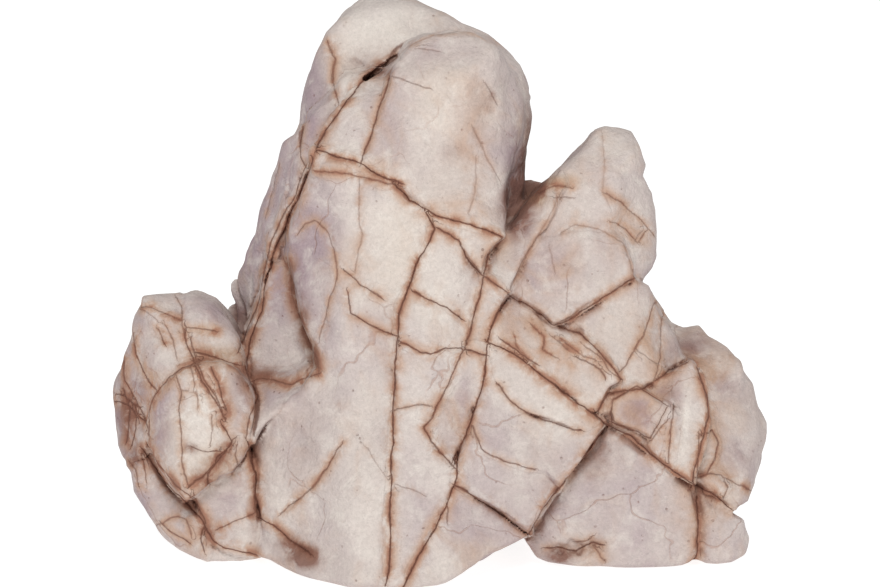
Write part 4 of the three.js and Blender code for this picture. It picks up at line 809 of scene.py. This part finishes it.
def soft_max(a, b, blend):
    overlap = np.maximum(blend - np.abs(a - b), 0)
    return np.maximum(a, b) + overlap * overlap / (4 * blend)


def cemented(a, b):
    """Smaller of two distances, with the joint between two neighbours cemented."""
    overlap = np.maximum(CEMENT - np.abs(a - b), 0)
    return np.minimum(a, b) - overlap * overlap / (4 * CEMENT)


def line_distance(points, x, h):
    """Distance to an open line through the points."""
    nearest = np.full(x.shape, np.inf)
    for (ax, ah), (bx, bh) in zip(points, points[1:]):
        run_x, run_h = bx - ax, bh - ah
        along = ((x - ax) * run_x + (h - ah) * run_h) / (run_x**2 + run_h**2)
        along = np.clip(along, 0, 1)
        off = (x - ax - run_x * along) ** 2 + (h - ah - run_h * along) ** 2
        nearest = np.minimum(nearest, off)
    return np.sqrt(nearest)


def outline_distance(outline, x, h):
    """Distance to a closed outline, negative inside."""
    inside = np.zeros(x.shape, bool)
    closed = outline + outline[:1]
    for (ax, ah), (bx, bh) in zip(closed, closed[1:]):
        if ah != bh:
            crosses = (ah > h) != (bh > h)
            inside ^= crosses & (x < (bx - ax) * (h - ah) / (bh - ah) + ax)
    return np.where(inside, -1, 1) * line_distance(closed, x, h)


def faces_distance(faces, x, h, depth, sign):
    """Distance in front of a set of sloping faces."""
    distance = None
    for at_x, at_h, at_depth, slope_x, slope_h in faces:
        plane = at_depth + slope_x * (x - at_x) + slope_h * (h - at_h)
        gap = sign * (plane - depth) / math.hypot(1, slope_x, slope_h)
        distance = gap if distance is None else soft_max(distance, gap, FACE_BLEND)
    return distance


def rounded_meet(walls, edge):
    """Inside of several walls at once, with every edge between them rounded."""
    squares = sum(np.maximum(wall + edge, 0) ** 2 for wall in walls)
    largest = np.maximum.reduce(walls)
    return np.sqrt(squares) - edge + np.minimum(largest + edge, 0)


def box_distance(outline, x, h):
    """Least distance that a point could have to an outline, which lets far blocks be skipped."""
    low, high = np.min(outline, 0), np.max(outline, 0)
    return np.maximum.reduce([low[0] - x, x - high[0], low[1] - h, h - high[1]])


def swell(x, h, t):
    """Slow swell of the rock, which bends outlines and faces, more so away from the front.

    The bare numbers are wave numbers to the millimetre and phases, as in the solid model.
    """
    slow = SWELL_FRONT + SWELL_BEHIND * smooth_step(*SWELL_DEPTHS, t)
    shift_x = slow * np.sin(0.085 * h + 0.05 * t + 1.3) + RIPPLE * np.sin(0.27 * h - 0.19 * t + 4.1)
    shift_h = slow * np.sin(0.08 * x + 0.06 * t + 2.2) + RIPPLE * np.sin(0.25 * x + 0.18 * t + 0.7)
    shift_t = slow * np.sin(0.06 * x + 0.075 * h + 0.5)
    shift_t = shift_t + FACE_RIPPLE * np.sin(0.17 * x - 0.14 * h + 2.9)
    shift_t += FACE_FLUTTER * np.sin(0.31 * x + 0.27 * h + 1.1)
    return shift_x, shift_h, shift_t


def ring_sides(x, y, z, t):
    """Offsets from the grooves that circle the sides and the back, with how open each groove is."""
    bend = JOINT_BEND * np.sin(0.045 * x + 0.03 * z) + JOINT_RIPPLE * np.sin(0.08 * z + 0.06 * x + 2)
    deep = smooth_step(0, JOINTS_FADE, t - JOINTS_START)
    level = smooth_step(0, JOINTS_FADE, y - LEVELS_START)
    rings = [(t - at - lean * z - bend, deep) for at, lean in DEPTH_JOINTS]
    return rings + [(z - at - lean * x - bend, level) for at, lean in LEVEL_JOINTS]


def ring_depth(x, y, z, t):
    """How deep the weathered grooves are at each place."""
    rings = ring_sides(x, y, z, t)
    return JOINT_DEPTH * sum(open_by * np.exp(-((off / JOINT_WIDTH) ** 2)) for off, open_by in rings)


def corner_value(place, seed):
    """Fixed scattered value from -1 to 1 at each corner of a lattice."""
    wave = np.sin(place[0] * 12.9898 + place[1] * 78.233 + place[2] * 37.719 + seed * 5.37)
    scattered = wave * 43758.5453
    return 2 * (scattered - np.floor(scattered)) - 1


def lump_noise(x, y, z, size, seed):
    """Smooth noise from -1 to 1 with forms of the given size."""
    place = np.stack([x, y, z]) / size
    base = np.floor(place)
    share = place - base
    share = share * share * (3 - 2 * share)
    total = np.zeros(x.shape)
    for corner in range(8):
        bits = np.array([corner & 1, corner >> 1 & 1, corner >> 2 & 1]).reshape(3, 1)
        weight = np.prod(np.where(bits == 1, share, 1 - share), 0)
        total += weight * corner_value(base + bits, seed)
    return total


def chip_noise(x, y, z, size, seed):
    """Noise from -1 to 1 made of flat facets of the given size, which meet in creases.

    The lattice is sheared, so that the facets don't line up with the axes.
    """
    place = np.stack([x + 0.35 * y, y - 0.3 * z + 0.2 * x, z + 0.25 * x - 0.15 * y]) / size
    corner = np.floor(place)
    share = place - corner
    order = np.argsort(-share, axis=0)
    share = np.take_along_axis(share, order, 0)
    total = corner_value(corner, seed) * (1 - share[0])
    every = np.arange(x.size)
    for step in range(3):
        corner[order[step], every] += 1
        rest = share[step + 1] if step < 2 else 0
        total += corner_value(corner, seed) * (share[step] - rest)
    return total


def view_place(x, y, z):
    """Place on the face of the stone: x, h up the face and depth t, bent by the swell."""
    face_h = z * COS_DIP + y * SIN_DIP
    face_t = y * COS_DIP - z * SIN_DIP
    shift_x, shift_h, shift_t = swell(x, face_h, face_t)
    return x + shift_x, face_h + shift_h, face_t + shift_t, shift_h, shift_t, face_t


def signed_line_distance(points, x, h):
    """Distance to an open line, with the sign of the side that each place lies on."""
    nearest = np.full(x.shape, np.inf)
    side = np.ones(x.shape)
    for (ax, ah), (bx, bh) in zip(points, points[1:]):
        run_x, run_h = bx - ax, bh - ah
        along = np.clip(((x - ax) * run_x + (h - ah) * run_h) / (run_x**2 + run_h**2), 0, 1)
        off = np.hypot(x - ax - run_x * along, h - ah - run_h * along)
        closer = off < nearest
        nearest = np.where(closer, off, nearest)
        side = np.where(closer, np.sign(run_x * (h - ah) - run_h * (x - ax)), side)
    return nearest * np.where(side == 0, 1, side)


def front_share(t):
    """How much of the face's cracks and colours is left at depth t: all in front, none behind."""
    return 1 - smooth_step(CRACKS_END - CRACKS_FADE, CRACKS_END, t)


def crack_depth(bent_x, bent_h):
    """How deep the cracks of the face are cut at each place."""
    depth = np.zeros(bent_x.shape)
    for _, deep, _, _, points in VEINS:
        width = CRACK_WIDTH * (CRACK_THINNEST + CRACK_WIDENING * deep)
        near = np.nonzero(box_distance(points, bent_x, bent_h) < CRACK_WALLS * width)[0]
        off = line_distance(points, bent_x[near], bent_h[near])
        cut = CRACK_DEPTH * deep * np.exp(-((off / width) ** 2))
        depth[near] = np.maximum(depth[near], cut)
    return depth


def dent_depth(bent_x, bent_h):
    """How deep the dents of the face are at each place."""
    depth = np.zeros(bent_x.shape)
    ragged = np.sin(0.62 * bent_x + 0.85 * bent_h) + 0.6 * np.sin(1.3 * bent_x - 0.7 * bent_h)
    for _, centre_x, centre_h, width, height, deep in DENTS:
        off = ((bent_x + ragged - centre_x) / width) ** 2 + ((bent_h + ragged - centre_h) / height) ** 2
        depth += deep * np.maximum(0, 1 - off) ** 1.5
    return depth


def with_gaps(distance, bent_x, bent_h, bent_t):
    """The distance once the open gaps between blocks are cut out."""
    for _, width, deep, points in GAPS:
        near = np.nonzero(box_distance(points, bent_x, bent_h) < GAP_REACH)[0]
        off = line_distance(points, bent_x[near], bent_h[near])
        gap = off - np.minimum(width, GAP_SLOPE * (deep - bent_t[near]))
        distance[near] = np.maximum(distance[near], -gap)
    return distance


def crack_shades(bent_x, bent_h, veins):
    """Side of the nearest of the veins with its darkness, and the rust that has spread from them."""
    side = np.full(bent_x.shape, float(CRACK_REACH))
    dark = np.zeros(bent_x.shape)
    rust = np.zeros(bent_x.shape)
    for _, _, darkness, rustiness, points in veins:
        near = np.nonzero(box_distance(points, bent_x, bent_h) < CRACK_REACH)[0]
        off = signed_line_distance(points, bent_x[near], bent_h[near])
        closer = np.abs(off) < np.abs(side[near])
        side[near] = np.where(closer, off, side[near])
        dark[near] = np.where(closer, darkness, dark[near])
        rust[near] = np.maximum(rust[near], rustiness * np.exp(-np.abs(off) / RUST_SPREAD))
    return side, dark * (1 - smooth_step(*CRACK_CORE, np.abs(side))), rust


def block_distances(points):
    """Distance to the joined blocks, side of the nearest seam between two of them, and how far
    behind the face of the nearest block each point lies."""
    x, y, z = points
    bent_x, bent_h, bent_t, shift_h, shift_t, _ = view_place(x, y, z)
    floor = -z
    joined = np.full(x.shape, FAR)
    nearest = np.full(x.shape, FAR)
    second = np.full(x.shape, FAR)
    owner = np.full(x.shape, -1)
    runner_up = np.full(x.shape, -1)
    cover = np.zeros(x.shape)

    def add(block, number, on_front):
        across, up = (bent_x, bent_h) if on_front else (bent_x, z + shift_h)
        near = np.nonzero(box_distance(block["outline"], across, up) < joined + SKIP_MARGIN)[0]
        if near.size == 0:
            return
        across, up = across[near], up[near]
        side = outline_distance(block["outline"], across, up) - BLOCK_GROWTH
        if on_front:
            front = faces_distance(block["faces"], across, up, bent_t[near], 1)
            side = side + TAPER * np.maximum(0, -front - TAPER_START)
            back = y[near] + shift_t[near] - block["back"]
        else:
            front = faces_distance(block["faces"], across, z[near], y[near] + shift_t[near], -1)
            back = block["front"] - y[near]
        body = rounded_meet([side, front, back], block["round"])
        body = rounded_meet([body, floor[near]], FLOOR_ROUND)
        joined[near] = cemented(joined[near], body)
        closer = body < nearest[near]
        next_best = ~closer & (body < second[near])
        second[near] = np.where(closer, nearest[near], np.minimum(second[near], body))
        runner_up[near] = np.where(closer, owner[near], np.where(next_best, number, runner_up[near]))
        owner[near] = np.where(closer, number, owner[near])
        cover[near] = np.where(closer, -front, cover[near])
        nearest[near] = np.minimum(nearest[near], body)

    for number, block in enumerate(FRONT_BLOCKS):
        add(block, number, True)
    for number, block in enumerate(BACK_BLOCKS):
        add(block, number + len(FRONT_BLOCKS), False)
    seam = (second - nearest) * np.where(owner > runner_up, 1, -1)
    return joined, seam, cover


def stone_distance(points, fine=True):
    """Signed distance to the skin of the stone, negative inside."""
    x, y, z = points
    distance, seam, cover = block_distances(points)
    bent_x, bent_h, bent_t, _, _, t = view_place(x, y, z)
    distance = with_gaps(distance, bent_x, bent_h, bent_t)
    groove = ring_depth(x, y, z, t)
    if fine:
        near = np.nonzero(np.abs(distance) < RELIEF_REACH)[0]
        beside = np.abs(seam[near])
        relief = dent_depth(bent_x[near], bent_h[near]) + crack_depth(bent_x[near], bent_h[near])
        relief *= front_share(t[near])
        for seed, (size, height) in enumerate(CHIPS):
            relief += height * chip_noise(x[near], y[near], z[near], size, seed)
        size, height = EDGE_CHIPS
        edge = np.exp(-beside / EDGE_REACH)
        relief += height * edge * chip_noise(x[near], y[near], z[near], size, len(CHIPS))
        for seed, (size, height) in enumerate(LUMPS):
            relief += height * lump_noise(x[near], y[near], z[near], size, seed)
        in_seam = smooth_step(*SEAM_DEPTH, cover[near]) * (1 - smooth_step(*SEAM_REACH, beside))
        groove[near] += relief * (1 - in_seam) * smooth_step(0, FLOOR_FADE, z[near])
    return distance + np.minimum(groove, np.maximum(0, z))


def split_cells(cells, step):
    """Each cell as its eight halves."""
    half = step // 2
    parts = [cells + np.array([a, b, c]) * half for a in (0, 1) for b in (0, 1) for c in (0, 1)]
    return np.concatenate(parts)


def cells_at_skin(low, high):
    """Finest cells of a grid that lie near the skin, found by halving coarser ones."""
    counts = np.ceil((high - low) / (CELL * COARSE_STEPS)).astype(int)
    cells = np.stack(np.meshgrid(*[np.arange(n) for n in counts], indexing="ij"), -1)
    cells = cells.reshape(-1, 3) * COARSE_STEPS
    step = COARSE_STEPS
    while step > 1:
        middle = low + (cells + step / 2) * CELL
        reach = step * CELL * HALF_DIAGONAL * BAND + BAND_MARGIN
        near = np.abs(stone_distance(middle.T, fine=step <= RELIEF_STEPS)) < reach
        cells = split_cells(cells[near], step)
        step //= 2
    return cells


def skin_of_stone(low, high):
    """Skin as points and four-sided faces, one point in each cell that the skin crosses."""
    cells = cells_at_skin(low, high)
    size = np.ceil((high - low) / CELL).astype(np.int64) + 2 * COARSE_STEPS
    strides = np.array([size[1] * size[2], size[2], 1])
    offsets = np.array([[a, b, c] for a in (0, 1) for b in (0, 1) for c in (0, 1)])
    keys = (cells @ strides)[:, None] + offsets @ strides
    corner_keys, corner_of = np.unique(keys, return_inverse=True)
    corner_of = corner_of.reshape(keys.shape)
    corners = np.stack([corner_keys // strides[0], corner_keys // strides[1] % size[1],
                        corner_keys % size[2]], -1)
    values = stone_distance((low + corners * CELL).T)[corner_of]

    crossed = (values < 0).any(1) & (values >= 0).any(1)
    cells, values, keys = cells[crossed], values[crossed], keys[crossed, 0]
    order = np.argsort(keys)
    cells, values, keys = cells[order], values[order], keys[order]

    # Each point lies at the mean of the places where the skin cuts its cell's edges
    total = np.zeros((len(cells), 3))
    count = np.zeros(len(cells))
    pairs = [(a, b) for a in range(8) for b in range(a + 1, 8)
             if np.abs(offsets[a] - offsets[b]).sum() == 1]
    for a, b in pairs:
        cut = np.nonzero((values[:, a] < 0) != (values[:, b] < 0))[0]
        share = values[cut, a] / (values[cut, a] - values[cut, b])
        total[cut] += offsets[a] + share[:, None] * (offsets[b] - offsets[a])
        count[cut] += 1
    points = low + (cells + total / count[:, None]) * CELL

    # A face joins the four cells around each grid edge that the skin cuts, wound outward
    faces = []
    for axis, corner in ((0, 4), (1, 2), (2, 1)):
        side, up = strides[(axis + 1) % 3], strides[(axis + 2) % 3]
        first = values[:, 0] < 0
        cut = np.nonzero(first != (values[:, corner] < 0))[0]
        ring = np.stack([keys[cut], keys[cut] - side, keys[cut] - side - up, keys[cut] - up], -1)
        found = np.minimum(np.searchsorted(keys, ring), len(keys) - 1)
        whole = (keys[found] == ring).all(1)
        ring = found[whole]
        outward = first[cut][whole]
        ring[~outward] = ring[~outward][:, ::-1]
        faces.append(ring)
    return points, np.concatenate(faces)


def largest_piece(points, faces):
    """The largest connected piece of a skin, without crumbs."""
    label = np.arange(len(points))
    a = faces.ravel()
    b = np.roll(faces, 1, 1).ravel()
    while True:
        least = np.minimum(label[a], label[b])
        after = label.copy()
        np.minimum.at(after, a, least)
        np.minimum.at(after, b, least)
        after = after[after]
        if (after == label).all():
            break
        label = after
    values, counts = np.unique(label, return_counts=True)
    kept = label == values[counts.argmax()]
    number = np.cumsum(kept) - 1
    return points[kept], number[faces[kept[faces[:, 0]]]]


def mesh_from(name, points, faces):
    mesh = bpy.data.meshes.new(name)
    mesh.vertices.add(len(points))
    mesh.vertices.foreach_set("co", points.astype(np.float32).ravel())
    mesh.loops.add(faces.size)
    mesh.loops.foreach_set("vertex_index", faces.astype(np.int32).ravel())
    mesh.polygons.add(len(faces))
    mesh.polygons.foreach_set("loop_start", np.arange(0, faces.size, 4, dtype=np.int32))
    mesh.update(calc_edges=True)
    mesh.validate()
    return mesh


def numbers_of(collection, name):
    """Three numbers of each item of a mesh's collection, one after another."""
    numbers = np.empty(len(collection) * 3, np.float32)
    collection.foreach_get(name, numbers)
    return numbers


def in_stone_frame(mesh):
    """The mesh's points in millimetres, in the frame of the outlines, and their normals."""
    normals = numbers_of(mesh.vertex_normals, "vector")
    points = numbers_of(mesh.vertices, "co").reshape(-1, 3).T.astype(float) / MILLIMETRE
    points = points + np.array([[ORIGIN_X], [ORIGIN_Y], [0]])
    return points, normals.reshape(-1, 3).T.astype(float)


def thinned(obj):
    """The object's mesh with fewer triangles, most of them left on the cracks and edges."""
    obj.data.calc_loop_triangles()
    ratio = TRIANGLE_LIMIT / len(obj.data.loop_triangles)
    if ratio < 1:
        modifier = obj.modifiers.new("thin", "DECIMATE")
        modifier.ratio = ratio
        graph = bpy.context.evaluated_depsgraph_get()
        mesh = bpy.data.meshes.new_from_object(obj.evaluated_get(graph))
        obj.modifiers.clear()
        obj.data = mesh
        places = numbers_of(mesh.vertices, "co")
        places[2::3] = np.maximum(places[2::3], 0)
        mesh.vertices.foreach_set("co", places)


def hollow_shade(points, normals):
    """How sunken each point is, for the painted shade of the hollows: the rock is nearer around a
    hollow than around a ridge.
    """
    shade = np.zeros(points.shape[1])
    for reach in HOLLOW_REACHES:
        free = block_distances(points + normals * reach)[0]
        shade += np.clip(1 - free / reach, -0.5, 1) / len(HOLLOW_REACHES)
    return shade


def ridge_shade(points, normals):
    """How sharp a ridge each point lies on, for the painted highlight and wear of the ridges: little
    rock is behind it.
    """
    behind = block_distances(points - normals * RIDGE_REACH)[0]
    return np.clip(1 + behind / RIDGE_REACH, 0, 1)


def blots(x, h, patches):
    """Soft spots of colour on the face, each strongest at its middle."""
    tint = np.zeros(x.shape)
    for centre_x, centre_h, width, height, strength in patches:
        tint += strength * np.exp(-(((x - centre_x) / width) ** 2) - ((h - centre_h) / height) ** 2)
    return tint


def paint(mesh):
    """Writes what the material needs to know of each place on the skin."""
    points, normals = in_stone_frame(mesh)
    x, y, z = points
    bent_x, bent_h, _, _, _, t = view_place(x, y, z)
    side, dark, rust = crack_shades(bent_x, bent_h, VEINS[::2])
    other_side, other_dark, other_rust = crack_shades(bent_x, bent_h, VEINS[1::2])
    facing = normals[2] * SIN_DIP - normals[1] * COS_DIP
    on_face = smooth_step(*FACE_EDGE, facing) * front_share(t)
    seam = block_distances(points)[1]
    joint, joint_dark = seam, SEAM_DARKNESS * (1 - SEAM_HIDDEN_ON_FACE * on_face)
    for off, open_by in ring_sides(x, y, z, t):
        closer = (np.abs(off) < np.abs(joint)) & (open_by > RING_SHOWN)
        joint = np.where(closer, off, joint)
    joint_rust = np.exp(-np.abs(joint) / RUST_SPREAD)
    joint_rust = joint_rust * (SEAM_RUST - SEAM_RUST_LOST_ON_FACE * on_face)
    shades = {
        "side": np.clip(side, -LINE_REACH, LINE_REACH),
        "dark": dark * on_face,
        "other_side": np.clip(other_side, -LINE_REACH, LINE_REACH),
        "other_dark": other_dark * on_face,
        "joint": np.clip(joint, -LINE_REACH, LINE_REACH),
        "joint_dark": joint_dark * (1 - smooth_step(*SEAM_CORE, np.abs(joint))),
        "rust": np.maximum(np.maximum(rust, other_rust) * on_face, joint_rust),
        "hollow": hollow_shade(points, normals),
        "ridge": ridge_shade(points, normals),
    }
    for name, patches in PATCHES.items():
        # The brown, partly painted shade, reaches into recesses that don't face the front
        share = front_share(t) if name == "brown" else on_face
        shades[name] = share * blots(bent_x, bent_h, patches)
    # Painted shade: lilac on faces turned left, right and down, away from the light
    leftward, rightward = np.clip(-normals[0], 0, 1), np.clip(normals[0], 0, 1)
    shades["lilac"] += LILAC_SHADE_LEFT * leftward + LILAC_SHADE_RIGHT * rightward
    shades["lilac"] += LILAC_SHADE_UNDER * np.clip(-normals[2], 0, 1)
    for name, values in shades.items():
        attribute = mesh.attributes.new(name, "FLOAT", "POINT")
        attribute.data.foreach_set("value", values.astype(np.float32))


def node(tree, kind, links=None, **values):
    """New shader node with its settings and the sockets that feed it."""
    made = tree.nodes.new(kind)
    for name, value in values.items():
        setattr(made, name, value)
    for socket, source in (links or {}).items():
        if isinstance(source, bpy.types.NodeSocket):
            tree.links.new(source, made.inputs[socket])
        else:
            made.inputs[socket].default_value = source
    return made


def math_node(tree, operation, first, second=0.0, clamp=False):
    """Result of one sum on two values or sockets."""
    made = node(tree, "ShaderNodeMath", {0: first, 1: second}, operation=operation, use_clamp=clamp)
    return made.outputs[0]


def mixed(tree, share, first, second, blend="MIX"):
    """Colour between two others, by a share from 0 to 1."""
    made = node(tree, "ShaderNodeMix", {0: share, 6: first, 7: second}, data_type="RGBA",
                blend_type=blend, clamp_factor=True)
    return made.outputs[2]


def noise(tree, place, name):
    scale, detail, roughness, distortion = NOISES[name]
    made = node(tree, "ShaderNodeTexNoise", {"Vector": place, "Scale": scale, "Detail": detail,
                                             "Roughness": roughness, "Distortion": distortion})
    return made.outputs["Fac"]


def stretched(tree, value, low, high):
    """A value spread from low..high to 0..1, with soft ends."""
    made = node(tree, "ShaderNodeMapRange", {"Value": value, "From Min": low, "From Max": high},
                interpolation_type="SMOOTHSTEP")
    return made.outputs["Result"]


def shade(tree, name):
    made = node(tree, "ShaderNodeAttribute", attribute_name=name)
    return made.outputs["Fac"]


def product(tree, first, second, clamp=False):
    return math_node(tree, "MULTIPLY", first, second, clamp)


def line_through(tree, value, factor, offset):
    """A value times a factor, plus an offset."""
    return math_node(tree, "ADD", product(tree, value, factor), offset)


def blotched(tree, name, value):
    """The patches of a tint, with blotches of a noise added."""
    start, full, strength = BLOTCHES[name]
    blotches = product(tree, stretched(tree, value, start, full), strength)
    return math_node(tree, "ADD", shade(tree, name), blotches)


def drawn_line(tree, name, strength, wobble, width):
    """Line where a signed offset passes zero, ragged by a noise that bends and thins it."""
    offset = math_node(tree, "ADD", shade(tree, name), wobble)
    offset = math_node(tree, "ABSOLUTE", offset)
    line = math_node(tree, "SUBTRACT", 1.0, math_node(tree, "DIVIDE", offset, width), clamp=True)
    return product(tree, line, shade(tree, strength))


def hairlines(tree, place, size, presence):
    """Net of hair-thin closed cracks, seen only where the presence is high."""
    bent = node(tree, "ShaderNodeTexNoise",
                {"Vector": place, "Scale": size * HAIRLINE_WAVES, "Detail": 3.0})
    lean = node(tree, "ShaderNodeVectorMath",
                {0: bent.outputs["Color"], "Scale": HAIRLINE_BEND / size}, operation="SCALE").outputs[0]
    moved = node(tree, "ShaderNodeVectorMath", {0: place, 1: lean}, operation="ADD").outputs[0]
    net = node(tree, "ShaderNodeTexVoronoi", {"Vector": moved, "Scale": size, "Randomness": 1.0},
               feature="DISTANCE_TO_EDGE")
    wide, narrow = HAIRLINE_WIDTHS
    line = stretched(tree, net.outputs["Distance"], wide * size, narrow * size)
    return product(tree, line, presence)


def bed_colour(tree, place, mottle, patches):
    """Colour of the rock between the cracks: cream with lilac, peach and ochre beds, where the lilac
    is partly painted shade and the pale patches and ridges are partly painted highlight.
    """
    beds = noise(tree, place, "beds")
    uneven = line_through(tree, mottle, *UNEVEN)
    lilac = blotched(tree, "lilac", patches)
    colour = mixed(tree, product(tree, lilac, uneven, clamp=True), CREAM, LILAC)
    peach = blotched(tree, "peach", beds)
    blotchy = stretched(tree, beds, *BED_BLOTCHES)
    colour = mixed(tree, product(tree, peach, blotchy, clamp=True), colour, PEACH)
    colour = mixed(tree, product(tree, shade(tree, "ochre"), uneven, clamp=True), colour, OCHRE)
    pale = blotched(tree, "pale", mottle)
    # Painted highlight and edge wear: ridges paler
    pale = math_node(tree, "ADD", pale, product(tree, shade(tree, "ridge"), RIDGE_HIGHLIGHT_AND_WEAR))
    return mixed(tree, product(tree, pale, PALENESS, clamp=True), colour, PALE)


def sandstone_material():
    material = bpy.data.materials.new("sandstone")
    material.use_nodes = True
    tree = material.node_tree
    skin = tree.nodes["Principled BSDF"]
    place = node(tree, "ShaderNodeTexCoord").outputs["Object"]

    patches = noise(tree, place, "patches")
    mottle = noise(tree, place, "mottle")
    speckle = noise(tree, place, "speckle")
    grain = noise(tree, place, "grain")
    bends = noise(tree, place, "bends")
    colour = bed_colour(tree, place, mottle, patches)

    ragged = line_through(tree, stretched(tree, mottle, *RUST_RAGGED), *RAGGED)
    rust = product(tree, shade(tree, "rust"), ragged)
    for start, full, strength, tint in RUST_TINTS:
        colour = mixed(tree, product(tree, stretched(tree, rust, start, full), strength), colour, tint)
    # Brown patches, partly brown stone and partly painted shade in recesses
    brown = product(tree, shade(tree, "brown"), ragged, clamp=True)
    brown = product(tree, brown, BROWN_AND_SHADE_STRENGTH)
    # Painted shade: earth-brown darkening of the sunken places
    painted_hollow_shade = stretched(tree, shade(tree, "hollow"), HOLLOW_SHADE_START, HOLLOW_SHADE_FULL)
    painted_hollow_shade = product(tree, painted_hollow_shade, HOLLOW_SHADE_STRENGTH)
    colour = mixed(tree, math_node(tree, "MAXIMUM", brown, painted_hollow_shade), colour, EARTH_AND_SHADE)

    hair = hairlines(tree, place, HAIRLINE_SIZE, stretched(tree, patches, *HAIRLINE_PATCHES))
    colour = mixed(tree, product(tree, hair, HAIRLINE_STRENGTH), colour, RUST)

    wobble = product(tree, math_node(tree, "SUBTRACT", bends, 0.5), CORE_WOBBLE)
    width = line_through(tree, mottle, *CORE_WIDTH)
    core = math_node(tree, "MAXIMUM", drawn_line(tree, "side", "dark", wobble, width),
                     drawn_line(tree, "other_side", "other_dark", wobble, width))
    core = math_node(tree, "MAXIMUM", core, drawn_line(tree, "joint", "joint_dark", wobble, width))
    colour = mixed(tree, core, colour, DARK)

    pits = node(tree, "ShaderNodeTexVoronoi", {"Vector": place, "Scale": PIT_SCALE, "Randomness": 1.0})
    pit = product(tree, stretched(tree, pits.outputs["Distance"], *PIT_EDGE),
                  stretched(tree, mottle, *PIT_PATCHES))
    colour = mixed(tree, product(tree, pit, PIT_STRENGTH), colour, EARTH_AND_SHADE)
    fleck = line_through(tree, speckle, *FLECKS)
    grains = product(tree, math_node(tree, "SUBTRACT", grain, 0.5), GRAIN_CONTRAST)
    fleck = math_node(tree, "ADD", fleck, grains)
    colour = mixed(tree, 1.0, colour, fleck, blend="MULTIPLY")
    tree.links.new(colour, skin.inputs["Base Color"])

    tree.links.new(line_through(tree, speckle, *ROUGHNESS), skin.inputs["Roughness"])
    skin.inputs["Specular IOR Level"].default_value = SKIN_SHINE

    height = line_through(tree, grain, GRAIN_HEIGHT, speckle)
    for sunk, by in ((pit, PIT_HEIGHT), (core, CORE_HEIGHT), (hair, HAIRLINE_HEIGHT)):
        height = math_node(tree, "SUBTRACT", height, product(tree, sunk, by))
    fine = node(tree, "ShaderNodeBump",
                {"Height": height, "Strength": BUMP_STRENGTH, "Distance": FINE_BUMP})
    rolling = node(tree, "ShaderNodeBump",
                   {"Height": mottle, "Strength": BUMP_STRENGTH, "Distance": ROLLING_BUMP,
                    "Normal": fine.outputs["Normal"]})
    tree.links.new(rolling.outputs["Normal"], skin.inputs["Normal"])
    return material


def make_stone():
    points, faces = largest_piece(*skin_of_stone(np.array(SKIN_LOW), np.array(SKIN_HIGH)))
    points = points - np.array([ORIGIN_X, ORIGIN_Y, 0])
    points[:, 2] = np.where(points[:, 2] < FOOT_SNAP, 0, points[:, 2])
    skin = mesh_from("weathered_stone", points * MILLIMETRE, faces)
    stone = bpy.data.objects.new("weathered_stone", skin)
    bpy.context.scene.collection.objects.link(stone)
    thinned(stone)
    stone.data.polygons.foreach_set("use_smooth", np.ones(len(stone.data.polygons), bool))
    paint(stone.data)
    stone.data.materials.clear()
    stone.data.materials.append(sandstone_material())
    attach(stone, "root")
    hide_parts("sandstone")


def make_floor():
    """Plain white floor that runs on past the view."""
    half = FLOOR_HALF
    mesh = bpy.data.meshes.new("floor")
    corners = [(-half, -half, 0), (half, -half, 0), (half, half, 0), (-half, half, 0)]
    mesh.from_pydata(corners, [], [(0, 1, 2, 3)])
    floor = bpy.data.objects.new("floor", mesh)
    bpy.context.scene.collection.objects.link(floor)
    material = bpy.data.materials.new("floor")
    material.use_nodes = True
    skin = material.node_tree.nodes["Principled BSDF"]
    skin.inputs["Base Color"].default_value = FLOOR_COLOUR
    skin.inputs["Roughness"].default_value = 1
    skin.inputs["Specular IOR Level"].default_value = 0
    skin.inputs["Emission Color"].default_value = WHITE
    skin.inputs["Emission Strength"].default_value = FLOOR_GLOW
    mesh.materials.append(material)


def in_room(x, h, t):
    """Place on the face of the stone, in millimetres, as a place in the scene in metres."""
    y = h * SIN_DIP + t * COS_DIP
    z = h * COS_DIP - t * SIN_DIP
    return Vector((x - ORIGIN_X, y - ORIGIN_Y, z)) * MILLIMETRE


def aim(obj, target):
    obj.rotation_euler = (target - obj.location).to_track_quat("-Z", "Y").to_euler()


def make_camera():
    data = bpy.data.cameras.new("camera")
    data.lens = CAMERA_LENS
    data.sensor_width = SENSOR_WIDTH
    camera = bpy.data.objects.new("camera", data)
    bpy.context.scene.collection.objects.link(camera)
    distance = PHOTO_WIDTH_MM * CAMERA_LENS / SENSOR_WIDTH
    target = in_room(*VIEW_CENTRE)
    camera.location = in_room(VIEW_CENTRE[0], VIEW_CENTRE[1], VIEW_CENTRE[2] - distance)
    aim(camera, target)
    bpy.context.scene.camera = camera


def add_light(name, place, size, power, tint):
    data = bpy.data.lights.new(name, "AREA")
    data.shape = "DISK"
    data.size = size
    data.energy = power
    data.color = tint
    light = bpy.data.objects.new(name, data)
    light.location = place
    bpy.context.scene.collection.objects.link(light)
    aim(light, Vector(LIGHT_TARGET))


def make_light():
    world = bpy.data.worlds.new("studio")
    world.use_nodes = True
    background = world.node_tree.nodes["Background"]
    background.inputs["Color"].default_value = WHITE
    background.inputs["Strength"].default_value = WORLD_STRENGTH
    bpy.context.scene.world = world
    add_light("key", KEY_PLACE, KEY_SIZE, KEY_POWER, KEY_TINT)
    bpy.context.scene.view_settings.view_transform = "Standard"


make_camera()
make_light()
make_floor()
make_stone()
